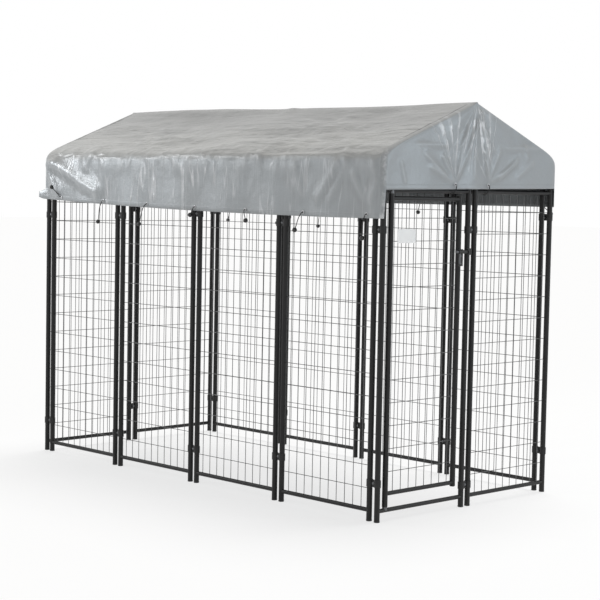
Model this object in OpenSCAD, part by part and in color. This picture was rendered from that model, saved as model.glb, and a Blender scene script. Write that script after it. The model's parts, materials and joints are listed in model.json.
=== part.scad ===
// Outdoor dog kennel run: welded wire panels clamped post to post, a pin-hung door
// with a slide bolt, and a gable roof frame under a tied-down sheet canopy.
// Millimetres. +X runs towards the door end, +Z up, the ground is z = 0.

/* [Panels] */
// Post centre to post centre across one panel
panel_w = 556; // [450:1:800]
// Distance between the two post centres at a joint
joint_w = 46; // [42:1:60]
// Height of a post's top above the ground
post_h = 1450; // [1200:10:1900]
// Diameter of the post tube
tube_d = 25; // [22:0.5:30]
// Wall of the post tube
tube_wall = 1; // [0.8:0.1:1.2]
// Diameter of the rail tube
rail_d = 19; // [16:0.5:21]
// Wall of the rail tube
rail_wall = 1; // [0.8:0.1:2]
// Height of the bottom rail's centre
rail_low_z = 48; // [40:1:80]
// Depth of the top rail's centre below the post's top
rail_drop = 15; // [12:1:30]

/* [Wire mesh] */
// Diameter of a mesh wire
wire_d = 3; // [2:0.1:4]
// Spacing of the upright wires
mesh_x = 51; // [40:1:70]
// Spacing of the level wires
mesh_z = 100; // [80:1:120]
// Height of the first level wire above the rail below it
first_row = 95; // [80:1:110]

/* [Door] */
// Hinge stile's centre from the corner post's centre
hinge_gap = 48; // [46:1:70]
// Latch stile's centre from the panel's other post
latch_gap = 61; // [56:1:66]
// Height of the door's bottom rail centre
door_low_z = 120; // [110:1:200]
// Drop of the door's top rail centre below the panel's top rail centre
door_drop = 35; // [33:1:60]
// Length of a latch stile's end past the door rail's centre
stile_end = 15; // [11:1:18]
// Diameter of a hinge pin
pin_d = 12; // [8:0.5:14]
// Length of a hinge pin inside the stile
pin_len = 30; // [20:1:45]

/* [Latch] */
// Depth of the slide bolt's axis below the post's top
bolt_drop = 285; // [270:5:550]
// Diameter of the slide bolt
bolt_d = 12; // [8:0.5:14]
// Length of the barrel that guides the bolt
barrel_len = 52; // [50:1:54]
// Outer diameter of the barrel
barrel_d = 18; // [17:0.5:22]
// Travel of the bolt
bolt_throw = 30; // [22:1:32]
// Height of the latch body
latch_h = 76; // [60:1:100]
// Diameter of the bolt's grip
grip_d = 8; // [6:0.5:9]
// Length of the bolt's grip below the bolt's axis
grip_len = 50; // [30:1:60]

/* [Clamps] */
// Height of a clamp
clamp_h = 32; // [24:1:36]
// Sheet thickness of a clamp
clamp_t = 2.5; // [2:0.1:3]
// Diameter of the clamp bolt
clamp_bolt_d = 8; // [6:0.5:9]

/* [Roof frame] */
// Height of an eave elbow's centre above the post's top
eave_rise = 122; // [100:1:200]
// Height of the ridge pole's centre above the eave
roof_rise = 246; // [180:1:400]
// Length of a leg inside its post
leg_in = 60; // [30:1:100]
// Wall of the roof connectors' sockets
socket_wall = 2.9; // [2:0.1:4]
// Length of a connector's socket from its centre
socket_len = 58; // [45:1:80]

/* [Canopy] */
// Thickness of the sheet
sheet_t = 2; // [1.5:0.1:3]
// Space left between the sheet and the roof frame
sheet_gap = 3; // [2.5:0.1:5]
// Drop of the left side's hem below the post's top at the door end
hem_front_drop = 138; // [60:1:160]
// Drop of the left side's hem at its middle
hem_mid_drop = 129; // [60:1:160]
// Drop of the left side's hem at the rear
hem_rear_drop = 92; // [60:1:160]
// Drop of the right side's hem
hem_right_drop = 80; // [60:1:160]
// Drop of the gable hem below the post's top
gable_hem_drop = 2; // [0:1:10]
// How far the sheet swells out between two ties
swell = 14; // [0:1:25]
// How far the roof sags between two bows
sag = 10; // [0:1:14]

/* [Ties] */
// Diameter of a tie cord
cord_d = 4; // [3:0.5:5]
// Diameter of a tie ball
ball_d = 22; // [18:1:26]

/* [Hidden] */
$fn = 48;
weld_gap = 0.05;
run_fit = 0.05;
seat_gap = 0.3;

pitch = panel_w + joint_w;
wall_y = pitch - joint_w / 2;
end_x = 2 * pitch + joint_w / 2;
rail_top_z = post_h - rail_drop;

// Level wires: their heights, and the room a clamp has between two of them
function row_z(k) = rail_low_z + first_row + k * mesh_z;
rows = floor((rail_top_z - rail_d / 2 - wire_d - row_z(0)) / mesh_z) + 1;
clamp_room = (mesh_z - clamp_h - wire_d) / 2 - 1;

// Joints between panels: [x, y, turn], the pair of posts lying along x before the turn.
// The outer clamp half faces -y before the turn.
joints = concat(
  [for (k = [-2:2]) [k * pitch, -wall_y, 0]],
  [for (k = [-2:2]) [k * pitch, wall_y, 180]],
  [[end_x, 0, 90], [-end_x, 0, -90]]);
// Where each clamp sits in the room between its two wires, -1 low to 1 high
low_seat = [-0.9, -0.8, -0.95, 0.4, -0.8, 0.1, -0.4, -0.55, -0.85, 0.2, 0, 0];
high_seat = [-0.6, -0.3, 0.45, -0.45, -0.9, 0.2, -0.1, -0.25, 0.05, 0.9, -0.95, 0.5];
door_joint = 10;
function clamp_low_z(i) = i == door_joint
  ? rail_low_z + (rail_d / 2 + first_row) / 2
  : row_z(0) + mesh_z / 2 + low_seat[i] * clamp_room;
function clamp_high_z(i) = row_z(rows - 2) + mesh_z / 2 + high_seat[i] * clamp_room;

// End plugs of the tubes
foot_flange_h = 6;
foot_lip = 0.6;
foot_chamfer = 1.5;
foot_stem = 22;
cap_h = 3;
cap_stem = 15;
plug_gap = 0.15;

// Door
hinge_y = -wall_y + hinge_gap;
latch_y = -joint_w / 2 - latch_gap;
door_w = latch_y - hinge_y;
door_top_z = rail_top_z - door_drop;
collar_h = 5;
collar_d = tube_d - 3;
bush_flange = 3;
hinge_low_z = rail_low_z + rail_d / 2 + collar_h;
hinge_high_z = rail_top_z - rail_d / 2 - collar_h;
stile_low_z = hinge_low_z + seat_gap + bush_flange;
stile_high_z = hinge_high_z - seat_gap - bush_flange;
door_rows = floor((door_top_z - rail_d / 2 - wire_d - door_low_z - first_row) / mesh_z) + 1;

// Latch
bolt_z = post_h - bolt_drop;
body_t = 7;
body_back = tube_d / 2 - 3.5;
barrel_x = body_back + body_t + barrel_d / 2 - 2;
barrel_wall_end = 5;
screw_d = 5;
screw_head_d = 9;
screw_head_h = 2;
eye_t = 4;
eye_d = bolt_d + 14;
eye_gap = 6;
eye_hole = bolt_d + 2;
keeper_h = 30;
keeper_arm_t = 3.5;

// Clamp bolts and nuts
web_gap = 3;
hole_clear = 0.3;
head_h = 4.5;
nut_h = 6.5;
bolt_recess = 1.55;

// Roof frame
bow_x = [end_x, joint_w / 2, -end_x];
// A leg fits a post's bore, and the roof's other tubes are the same size
leg_fit = 0.5;
roof_d = tube_d - 2 * (tube_wall + leg_fit);
roof_wall = 1.2;
leg_collar_h = 4;
leg_collar_d = tube_d + 1;
socket_fit = 0.1;
socket_d = roof_d + 2 * (socket_fit + socket_wall);
eave_z = post_h + eave_rise;
ridge_z = eave_z + roof_rise;
socket_core = 20;
core_lip = 1.2;
slope = atan((ridge_z - eave_z) / wall_y);
rafter_len = wall_y / cos(slope);
tube_stop = socket_core + 2;
pole_socket_d = rail_d + 6;

// Canopy: outer surface, from the ridge down to the hem, as rings round the roof
sheet_out = socket_d / 2 + sheet_gap + sheet_t;
canopy_y = wall_y + tube_d / 2 + clamp_t + sheet_gap + sheet_t + 2;
canopy_x = end_x + socket_d / 2 + sheet_gap + sheet_t;
crown_z = ridge_z + sheet_out / cos(slope);
function slope_z(y) = crown_z - y * tan(slope);
corner_z = slope_z(canopy_y);
gable_hem_z = post_h - gable_hem_drop;
ridge_half = 10;
eave_round = 16;
ring_y = [ridge_half, 0.32 * canopy_y, 0.66 * canopy_y, canopy_y - eave_round,
          canopy_y - 0.25 * eave_round, canopy_y, canopy_y, canopy_y];
ring_z = [ridge_z + sheet_out, slope_z(ring_y[1]), slope_z(ring_y[2]), slope_z(ring_y[3]),
          corner_z - 0.2 * eave_round, corner_z - 2.75 * eave_round];
ring_pull = [4, 0, 0, 0, 0, 0, 0, 0];
ring_sag = [0, 0.7, 1, 0.2, 0, 0, 0, 0];
ring_swell = [0, 0, 0, 0, 0, 0.15, 0.6, 1];
gable_swell = [0, 0.1, 0.3, 0.45, 0.55, 0.7, 0.9, 0.6];
bend_ring = 5;
hem_ring = 7;
// Ties along a long side and across a gable, as shares of the half length and half width
tie_at = [-0.87, -0.575, -0.289, 0.006, 0.297, 0.608, 0.922];
gable_tie_at = [-0.231, 0.15];
gable_edge = 0.99;
side_steps = 3;

full_span = 0.33;
// A short span between ties swells less than a full one
function swell_at(u, span) = pow(sin(180 * u), 2) * min(1, span / full_span);
// Stations between the given stops: [place, share of the swell]
function stations(stops, steps) = concat(
  [for (i = [0:len(stops) - 2]) for (j = [0:steps - 1])
    let (span = stops[i + 1] - stops[i])
    [stops[i] + span * j / steps, swell_at(j / steps, span)]],
  [[stops[len(stops) - 1], 0]]);
side_cols = stations(concat([-1], tie_at, [1]), side_steps);
gable_cols = concat(
  [for (s = stations([-gable_edge, gable_tie_at[0]], 4)) s],
  [[(gable_tie_at[0] + gable_tie_at[1]) / 2, 1]],
  [for (s = stations([gable_tie_at[1], gable_edge], 4)) s]);
ns = len(side_cols);
ng = len(gable_cols);
nc = 2 * (ns + ng);

// The left hem's height is a curve through its three heights
hem_bow = hem_mid_drop - (hem_rear_drop + hem_front_drop) / 2;
function hem_z(s, sy) = post_h - (sy > 0 ? hem_right_drop
  : hem_rear_drop + (hem_front_drop - hem_rear_drop) * (s + 1) / 2 + hem_bow * (1 - s * s));
function ring_low_z(i, hem) = i <= bend_ring
  ? ring_z[i]
  : ring_z[bend_ring] + (hem - ring_z[bend_ring]) * (i - bend_ring) / (hem_ring - bend_ring);
// Sag of the roof between the bows on either side of x
function bay_sag(x) = let (
    lo = x < bow_x[1] ? bow_x[2] : bow_x[1],
    hi = x < bow_x[1] ? bow_x[1] : bow_x[0],
    u = (x - lo) / (hi - lo))
  u <= 0 || u >= 1 ? 0 : sag * sin(180 * u);
function skin_drop(i, t) = i < bend_ring ? t : 0;
function side_point(i, c, sy, t) = let (x = c[0] * (canopy_x - ring_pull[i] - t))
  [x, sy * (ring_y[i] - t + swell * ring_swell[i] * c[1]),
   ring_low_z(i, hem_z(c[0], sy)) - ring_sag[i] * bay_sag(c[0] * canopy_x) - skin_drop(i, t)];
function gable_point(i, c, sx, t) = let (
    arc = i == 0 ? ring_pull[0] * (1 - c[0] * c[0]) * 0.8 : 0)
  [sx * (canopy_x - ring_pull[i] - t + arc + swell * gable_swell[i] * c[1]),
   c[0] * (ring_y[i] - t), ring_low_z(i, gable_hem_z) - skin_drop(i, t)];
function ring(i, t) = concat(
  [for (c = side_cols) side_point(i, c, -1, t)],
  [for (c = gable_cols) gable_point(i, c, 1, t)],
  [for (k = [ns - 1:-1:0]) side_point(i, side_cols[k], 1, t)],
  [for (k = [ng - 1:-1:0]) gable_point(i, gable_cols[k], -1, t)]);
function flip(f) = [f[2], f[1], f[0]];
function skin_faces(o) = [for (i = [0:hem_ring - 1]) for (j = [0:nc - 1]) let (
    a = o + i * nc + j, b = o + i * nc + (j + 1) % nc)
  each [[a, b, b + nc], [a, b + nc, a + nc]]];
function far_col(k) = 2 * ns + ng - 1 - k;
function cap_faces(o) = concat(
  [for (k = [0:ns - 2])
    each [[o + k + 1, o + k, o + far_col(k)], [o + k + 1, o + far_col(k), o + far_col(k + 1)]]],
  [for (m = [ns:ns + ng - 1]) [o + ns - 1, o + m + 1, o + m]],
  [for (m = [far_col(0) + 1:nc - 1]) [o + far_col(0), o + (m + 1) % nc, o + m]]);
function rim_faces(o, p) = [for (j = [0:nc - 1]) let (k = (j + 1) % nc)
  each [[o + j, o + k, p + k], [o + j, p + k, p + j]]];

// Ties: a cord bends over its eyelet's rim and runs straight to a ball
eyelet_up = 18;
eyelet_r = 6;
eyelet_wire = 3.2;
eyelet_gap = 1;
cord_sides = 8;
cord_lift = 0.8;
// How far each ball lies from its eyelet along x and below it, on the left and the right side.
// The first one on the left is tied up and lies on the sheet.
left_lean = [-66, -32, -49, -22, 15, -43, -15];
left_drop = [-52, 108, 101, 39, 50, 81, 103];
right_lean = [-43, 8, -17, -12, -12, -20, 60];
right_drop = [138, 144, 152, 60, 60, 100, 50];
bend_out = 11;
bend_drop = 12;
// A gable tie passes in front of the top rail and under it to a ball inside
wrap_r = rail_d / 2 + cord_d / 2 + 1.5;
ball_gap = 0.05;
function ball_out(drop) = drop < 0 ? ball_d / 2 + swell / 2 : bend_out;
function side_tie(k, sy) = let (
    lean = sy < 0 ? left_lean[k] : right_lean[k],
    drop = sy < 0 ? left_drop[k] : right_drop[k],
    way = sign(drop),
    eye = [tie_at[k] * canopy_x, sy * canopy_y, hem_z(tie_at[k], sy) + eyelet_up],
    bend = eye + [0.2 * lean, sy * bend_out, -way * bend_drop],
    ball = eye + [lean, sy * ball_out(drop), -drop])
  [eye + [0, sy * cord_lift, 0], eye + [0.05 * lean, sy * 7, -way * 1.5], bend,
   ball - unit(ball - bend) * (ball_d / 2 + ball_gap)];
function gable_tie(k, sx) = let (y = gable_tie_at[k] * canopy_y)
  concat(
    [[sx * (canopy_x + cord_lift), y, gable_hem_z + eyelet_up],
     [sx * (canopy_x + 7.5), y, gable_hem_z + eyelet_up - 1.5],
     [sx * (canopy_x + 5), y, rail_top_z + 6]],
    [for (a = [-45, -90, -135])
      [sx * (end_x + wrap_r * cos(a)), y, rail_top_z + wrap_r * sin(a)]],
    [[sx * (end_x - wrap_r - 4), y, rail_top_z + 2]]);
side_ties = [for (sy = [-1, 1]) for (k = [0:len(tie_at) - 1]) side_tie(k, sy)];
gable_ties = [for (sx = [-1, 1]) for (k = [0, 1]) gable_tie(k, sx)];
function unit(v) = v / norm(v);
function tangent(p, i) = unit(p[min(i + 1, len(p) - 1)] - p[max(i - 1, 0)]);
// A ring of the cord's tube, square to the route; across is level and square to the fall
function cord_ring(p, i, across) = let (
    t = tangent(p, i), n = unit(cross(t, across)), b = cross(t, n))
  [for (s = [0:cord_sides - 1]) let (a = 360 * s / cord_sides)
    p[i] + cord_d / 2 * (cos(a) * n + sin(a) * b)];

coat = "#26272a";
wire_coat = "#3a3b3e";
plastic = "#141415";
zinc = "#b9bcc0";
sheet_grey = "#a9acab";

// A tube along z from z0 to z1
module tube(d, wall, z0, z1) {
  translate([0, 0, z0]) difference() {
    cylinder(d = d, h = z1 - z0);
    translate([0, 0, -1]) cylinder(d = d - 2 * wall, h = z1 - z0 + 2);
  }
}

// A rail between two uprights w apart, its ends coped round them
module coped_rail(w, z) {
  difference() {
    translate([-w / 2, 0, z]) rotate([0, 90, 0]) tube(rail_d, rail_wall, 0, w);
    for (s = [-1, 1]) translate([s * w / 2, 0, z - rail_d])
      cylinder(d = tube_d + 2 * weld_gap, h = 2 * rail_d);
  }
}

// Two posts and two rails, the panel's plane on y = 0
module frame_tubes() {
  for (s = [-1, 1]) translate([s * panel_w / 2, 0, 0])
    tube(tube_d, tube_wall, foot_flange_h, post_h);
  coped_rail(panel_w, rail_low_z);
  coped_rail(panel_w, rail_top_z);
}

// Crossed wires between uprights w apart and rails at z0 and z1
module wires(w, z0, z1, n_rows) {
  n = floor((w - tube_d) / mesh_x);
  off = (wire_d + weld_gap) / 2;
  reach = w / 2 - sqrt(pow(tube_d / 2, 2) - pow(off - wire_d / 2, 2)) - weld_gap;
  for (i = [0:n - 1]) translate([(i - (n - 1) / 2) * mesh_x, -off, z0 + rail_d / 2 + weld_gap])
    cylinder(d = wire_d, h = z1 - z0 - rail_d - 2 * weld_gap);
  for (k = [0:n_rows - 1]) translate([-reach, off, z0 + first_row + k * mesh_z])
    rotate([0, 90, 0]) cylinder(d = wire_d, h = 2 * reach);
}
module panel_wires() { wires(panel_w, rail_low_z, rail_top_z, rows); }

// Places of the panels: k counts from the rear along a long wall, from the left across an end
module on_left(k) { translate([(k - 2.5) * pitch, -wall_y, 0]) children(); }
module on_right(k) { translate([(k - 2.5) * pitch, wall_y, 0]) rotate(180) children(); }
module on_rear(k) { translate([-end_x, (k - 1.5) * pitch, 0]) rotate(-90) children(); }
module on_front(k) { translate([end_x, (k - 1.5) * pitch, 0]) rotate(90) children(); }

module left_frame(k) { color(coat) on_left(k) frame_tubes(); }
module right_frame(k) { color(coat) on_right(k) frame_tubes(); }
module rear_frame(k) { color(coat) on_rear(k) frame_tubes(); }
module front_frame() { color(coat) on_front(2) frame_tubes(); }
module door_surround() { color(coat) on_front(1) frame_tubes(); }
module left_mesh(k) { color(wire_coat) on_left(k) panel_wires(); }
module right_mesh(k) { color(wire_coat) on_right(k) panel_wires(); }
module rear_mesh(k) { color(wire_coat) on_rear(k) panel_wires(); }
module front_mesh() { color(wire_coat) on_front(2) panel_wires(); }

// The door's own plane, x across it, centred between its stiles
module on_door() { translate([end_x, (hinge_y + latch_y) / 2, 0]) rotate(90) children(); }
latch_low_z = door_low_z - stile_end;
latch_high_z = door_top_z + stile_end - cap_h;

module door_frame() {
  color(coat) on_door() {
    translate([-door_w / 2, 0, 0]) tube(tube_d, tube_wall, stile_low_z, stile_high_z);
    translate([door_w / 2, 0, 0]) tube(tube_d, tube_wall, latch_low_z, latch_high_z);
    coped_rail(door_w, door_low_z);
    coped_rail(door_w, door_top_z);
  }
}
module door_mesh() { color(wire_coat) on_door() wires(door_w, door_low_z, door_top_z, door_rows); }

// A cap with a low dome and a stem that fills the tube's bore; it stands on z = 0
module end_cap() {
  r = tube_d / 2;
  rotate_extrude() polygon([[0, -cap_stem], [r - tube_wall - plug_gap, -cap_stem],
    [r - tube_wall - plug_gap, 0], [r, 0], [r, cap_h / 2], [r - cap_h, cap_h], [0, cap_h]]);
}
module door_end_plugs() {
  color(plastic) on_door() translate([door_w / 2, 0, 0]) {
    translate([0, 0, latch_high_z]) end_cap();
    translate([0, 0, latch_low_z]) mirror([0, 0, 1]) end_cap();
  }
}

// A pin on a collar that is shaped to sit on the crown of a rail along y
module hinge_pin() {
  difference() {
    union() {
      translate([0, 0, -rail_d / 2]) cylinder(d = collar_d, h = rail_d / 2 + collar_h);
      cylinder(d = pin_d, h = collar_h + pin_len);
    }
    translate([0, 0, -rail_d / 2]) rotate([90, 0, 0])
      cylinder(d = rail_d + 2 * weld_gap, h = 2 * collar_d, center = true);
    translate([0, 0, -rail_d]) cube([2 * collar_d, 2 * collar_d, rail_d], center = true);
  }
}
module hinge_pins() {
  color(zinc) translate([end_x, hinge_y, 0]) {
    translate([0, 0, rail_low_z + rail_d / 2]) hinge_pin();
    translate([0, 0, rail_top_z - rail_d / 2]) mirror([0, 0, 1]) hinge_pin();
  }
}
// A flanged bush that turns on the pin and fills the stile's end
module hinge_bush() {
  difference() {
    union() {
      cylinder(d = tube_d, h = bush_flange);
      cylinder(d = tube_d - 2 * tube_wall - 2 * plug_gap, h = bush_flange + pin_len + 4);
    }
    translate([0, 0, -1]) cylinder(d = pin_d + 2 * run_fit, h = bush_flange + pin_len + 6);
  }
}
module hinge_bushes() {
  color(plastic) translate([end_x, hinge_y, 0]) {
    translate([0, 0, hinge_low_z + seat_gap]) hinge_bush();
    translate([0, 0, hinge_high_z - seat_gap]) mirror([0, 0, 1]) hinge_bush();
  }
}

// Latch: places are from the latch stile's axis, y across the door
module on_latch() { translate([end_x, latch_y, bolt_z]) children(); }
body_low = barrel_d / 2 + 3 - latch_h;
screw_at = [body_low + 12, -barrel_d / 2 - 9];
// A body saddled on the stile, with a barrel for the bolt across its top, slotted underneath
module latch_body() {
  slot_w = grip_d + 1;
  slot_len = bolt_throw + slot_w;
  color(coat) on_latch() difference() {
    union() {
      translate([body_back, -tube_d / 2 - 3, body_low]) cube([body_t, tube_d + 6, latch_h]);
      translate([barrel_x, -barrel_len / 2, 0]) rotate([-90, 0, 0])
        cylinder(d = barrel_d, h = barrel_len);
    }
    translate([0, 0, body_low - 1]) cylinder(d = tube_d + 2 * weld_gap, h = latch_h + 2);
    translate([barrel_x, -barrel_len, 0]) rotate([-90, 0, 0])
      cylinder(d = bolt_d + 2 * run_fit, h = 2 * barrel_len);
    translate([barrel_x - slot_w / 2, -slot_len / 2, -barrel_d]) cube([slot_w, slot_len, barrel_d]);
    for (z = screw_at) translate([0, 0, z]) rotate([0, 90, 0])
      cylinder(d = screw_d + 2 * hole_clear, h = 2 * tube_d);
  }
}
module latch_screws() {
  face = body_back + body_t;
  color(zinc) on_latch() for (z = screw_at) translate([0, 0, z]) rotate([0, 90, 0]) {
    translate([0, 0, face]) cylinder(d1 = screw_head_d, d2 = screw_head_d - 3, h = screw_head_h);
    translate([0, 0, tube_d / 2 + 0.2]) cylinder(d = screw_d, h = face - tube_d / 2);
  }
}
// The bolt lies withdrawn, its tip flush with the barrel's end and its grip hanging down
module latch_bolt() {
  color(zinc) on_latch() translate([barrel_x, 0, 0]) {
    translate([0, -barrel_len / 2 - bolt_throw / 2, 0]) rotate([-90, 0, 0])
      cylinder(d = bolt_d, h = barrel_len + bolt_throw / 2);
    translate([0, -bolt_throw / 2, -grip_len]) {
      cylinder(d = grip_d, h = grip_len);
      sphere(d = grip_d);
    }
  }
}
// The keeper: an eye in the bolt's line, on an arm from a saddle on the panel's post
module latch_keeper() {
  post = latch_gap;
  eye_y = barrel_len / 2 + eye_gap;
  arm_x = tube_d / 2 - 0.5;
  color(coat) on_latch() difference() {
    union() {
      translate([body_back, post - tube_d / 2 - 2, -keeper_h / 2])
        cube([body_t, tube_d + 4, keeper_h]);
      translate([arm_x, eye_y, -keeper_h / 2])
        cube([keeper_arm_t, post - eye_y, keeper_h]);
      translate([barrel_x, eye_y, 0]) rotate([-90, 0, 0]) cylinder(d = eye_d, h = eye_t);
      translate([arm_x, eye_y, -keeper_h / 2]) cube([barrel_x - arm_x, eye_t, keeper_h]);
    }
    translate([0, post, -keeper_h]) cylinder(d = tube_d + 2 * weld_gap, h = 2 * keeper_h);
    translate([barrel_x - eye_hole / 2, eye_y - 1, -eye_hole / 2])
      cube([eye_hole, eye_t + 2, eye_hole]);
  }
}

// Clamps: two pressed halves round both posts of a joint, drawn together by a bolt
module at_clamps() {
  for (i = [0:len(joints) - 1]) for (z = [clamp_low_z(i), clamp_high_z(i)])
    translate([joints[i][0], joints[i][1], z]) rotate(joints[i][2]) children();
}
module clamp_half() {
  r = tube_d / 2 + weld_gap;
  difference() {
    translate([0, 0, -clamp_h / 2]) linear_extrude(clamp_h) difference() {
      union() {
        for (s = [-1, 1]) translate([s * joint_w / 2, 0]) circle(r + clamp_t);
        translate([-joint_w / 2, -web_gap / 2 - clamp_t]) square([joint_w, clamp_t]);
      }
      for (s = [-1, 1]) translate([s * joint_w / 2, 0]) circle(r);
      translate([-2 * joint_w, -web_gap / 2]) square([4 * joint_w, joint_w]);
    }
    rotate([90, 0, 0]) cylinder(d = clamp_bolt_d + 2 * hole_clear, h = joint_w, center = true);
  }
}
module clamp_outer_halves() { color(coat) at_clamps() clamp_half(); }
module clamp_inner_halves() { color(coat) at_clamps() rotate(180) clamp_half(); }
web_face = web_gap / 2 + clamp_t;
module clamp_bolts() {
  color(zinc) at_clamps() rotate([-90, 0, 0]) translate([0, 0, -web_face]) {
    cylinder(d = clamp_bolt_d, h = web_face + tube_d / 2 + weld_gap + clamp_t - bolt_recess);
    rotate_extrude() intersection() {
      translate([0, -head_h]) square([clamp_bolt_d, head_h]);
      translate([0, clamp_bolt_d - head_h]) circle(clamp_bolt_d);
    }
  }
}
module clamp_nuts() {
  color(zinc) at_clamps() rotate([-90, 0, 0]) translate([0, 0, web_face]) difference() {
    cylinder(d = 1.8 * clamp_bolt_d, h = nut_h, $fn = 6);
    translate([0, 0, -1]) cylinder(d = clamp_bolt_d + 2 * run_fit, h = nut_h + 2);
  }
}

// Every post: [x, y, carries a roof leg]
posts = concat(
  [for (sy = [-1, 1]) for (k = [-2:1]) for (x = [k * pitch + joint_w / 2, (k + 1) * pitch - joint_w / 2])
    [x, sy * wall_y, x == bow_x[1]]],
  [for (sx = [-1, 1]) for (y = [-wall_y, -joint_w / 2, joint_w / 2, wall_y])
    [sx * end_x, y, abs(y) == wall_y]]);
module foot_plugs() {
  r = tube_d / 2;
  stem_r = r - tube_wall - plug_gap;
  color(plastic) for (p = posts) translate([p[0], p[1], 0])
    rotate_extrude() polygon([[0, 0], [r + foot_lip - foot_chamfer, 0], [r + foot_lip, foot_chamfer],
      [r + foot_lip, foot_flange_h], [stem_r, foot_flange_h],
      [stem_r, foot_flange_h + foot_stem], [0, foot_flange_h + foot_stem]]);
}
module top_caps() {
  color(plastic) for (p = posts) if (!p[2]) translate([p[0], p[1], post_h]) end_cap();
}

// A tube between two connectors that it enters, from the connector at one end
module rafter(x, sy) {
  color(coat) translate([x, 0, ridge_z]) rotate([-sy * (90 + slope), 0, 0])
    tube(roof_d, roof_wall, tube_stop, rafter_len - tube_stop);
}
// A leg that stands in a post's bore on its collar and enters an eave elbow
module roof_legs() {
  color(coat) for (x = bow_x) for (sy = [-1, 1]) translate([x, sy * wall_y, 0]) difference() {
    union() {
      translate([0, 0, post_h - leg_in])
        cylinder(d = roof_d, h = eave_z - tube_stop - post_h + leg_in);
      translate([0, 0, post_h]) cylinder(d = leg_collar_d, h = leg_collar_h);
    }
    translate([0, 0, post_h - leg_in - 1]) cylinder(d = roof_d - 2 * roof_wall, h = eave_z);
  }
}

// A connector at the ridge: sockets for two rafters and for a pole on each side listed
module peak(x, sides) {
  color(coat) translate([x, 0, ridge_z]) difference() {
    union() {
      sphere(d = socket_d + core_lip);
      for (s = [-1, 1]) rotate([-s * (90 + slope), 0, 0]) cylinder(d = socket_d, h = socket_len);
      for (s = sides) rotate([0, s * 90, 0]) cylinder(d = socket_d, h = socket_len);
    }
    for (s = [-1, 1]) rotate([-s * (90 + slope), 0, 0]) translate([0, 0, socket_core])
      cylinder(d = roof_d + 2 * socket_fit, h = socket_len);
    for (s = sides) rotate([0, s * 90, 0]) translate([0, 0, socket_core])
      cylinder(d = roof_d + 2 * socket_fit, h = socket_len);
  }
}
module ridge_pole(x0, x1) {
  color(coat) translate([0, 0, ridge_z]) rotate([0, 90, 0])
    tube(roof_d, roof_wall, x0 + tube_stop, x1 - tube_stop);
}

// A connector at the eave: sockets for a leg, a rafter and an eave pole on each side listed
module elbow(x, sy, sides) {
  up = -sy * (slope - 90);
  translate([x, sy * wall_y, eave_z]) difference() {
    union() {
      sphere(d = socket_d + core_lip);
      mirror([0, 0, 1]) cylinder(d = socket_d, h = socket_len);
      rotate([up, 0, 0]) cylinder(d = socket_d, h = socket_len);
      for (s = sides) rotate([0, s * 90, 0]) cylinder(d = pole_socket_d, h = socket_len);
    }
    translate([0, 0, -socket_core - socket_len])
      cylinder(d = roof_d + 2 * socket_fit, h = socket_len);
    rotate([up, 0, 0]) translate([0, 0, socket_core])
      cylinder(d = roof_d + 2 * socket_fit, h = socket_len);
    for (s = sides) rotate([0, s * 90, 0]) translate([0, 0, socket_core])
      cylinder(d = rail_d + 2 * socket_fit, h = socket_len);
  }
}
module eave_elbows() {
  color(coat) for (sy = [-1, 1]) {
    elbow(bow_x[0], sy, [-1]);
    elbow(bow_x[1], sy, [-1, 1]);
    elbow(bow_x[2], sy, [1]);
  }
}
module eave_pole(x0, x1, sy) {
  color(coat) translate([0, sy * wall_y, eave_z]) rotate([0, 90, 0])
    tube(rail_d, rail_wall, x0 + tube_stop, x1 - tube_stop);
}

// The canopy: one sheet over ridge and eaves, hanging on all four sides, swelling between ties
module canopy() {
  points = concat([for (i = [0:hem_ring]) each ring(i, 0)],
                  [for (i = [0:hem_ring]) each ring(i, sheet_t)]);
  inner = (hem_ring + 1) * nc;
  faces = concat(skin_faces(0), cap_faces(0),
    [for (f = concat(skin_faces(inner), cap_faces(inner))) flip(f)],
    rim_faces(hem_ring * nc, inner + hem_ring * nc));
  color(sheet_grey) polyhedron(points, faces);
}

module eyelet() {
  translate([0, 0, eyelet_gap + eyelet_wire / 2]) rotate_extrude()
    translate([eyelet_r, 0]) circle(d = eyelet_wire);
}
module eyelets() {
  color(zinc) {
    for (p = side_ties) translate([p[0][0], sign(p[0][1]) * canopy_y, p[0][2]])
      rotate([-sign(p[0][1]) * 90, 0, 0]) eyelet();
    for (p = gable_ties) translate([sign(p[0][0]) * canopy_x, p[0][1], p[0][2]])
      rotate([0, sign(p[0][0]) * 90, 0]) eyelet();
  }
}
// A cord's tube along its route
module cord(p, across) {
  n = len(p);
  m = cord_sides;
  points = [for (i = [0:n - 1]) each cord_ring(p, i, across)];
  walls = [for (i = [0:n - 2]) for (s = [0:m - 1]) let (
      a = i * m + s, b = i * m + (s + 1) % m)
    each [[a, b, b + m], [a, b + m, a + m]]];
  ends = [for (s = [1:m - 2]) each [[0, s + 1, s], [(n - 1) * m, (n - 1) * m + s, (n - 1) * m + s + 1]]];
  polyhedron(points, concat(walls, ends));
}
module tie_cords() {
  color(plastic) {
    for (p = side_ties) cord(p, [1, 0, 0]);
    for (p = gable_ties) cord(p, [0, 1, 0]);
  }
}
// A ball in line with the cord's last stretch
module tie_balls() {
  color(plastic) for (p = concat(side_ties, gable_ties)) let (n = len(p) - 1)
    translate(p[n] + unit(p[n] - p[n - 1]) * (ball_d / 2 + ball_gap)) sphere(d = ball_d);
}

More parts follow.
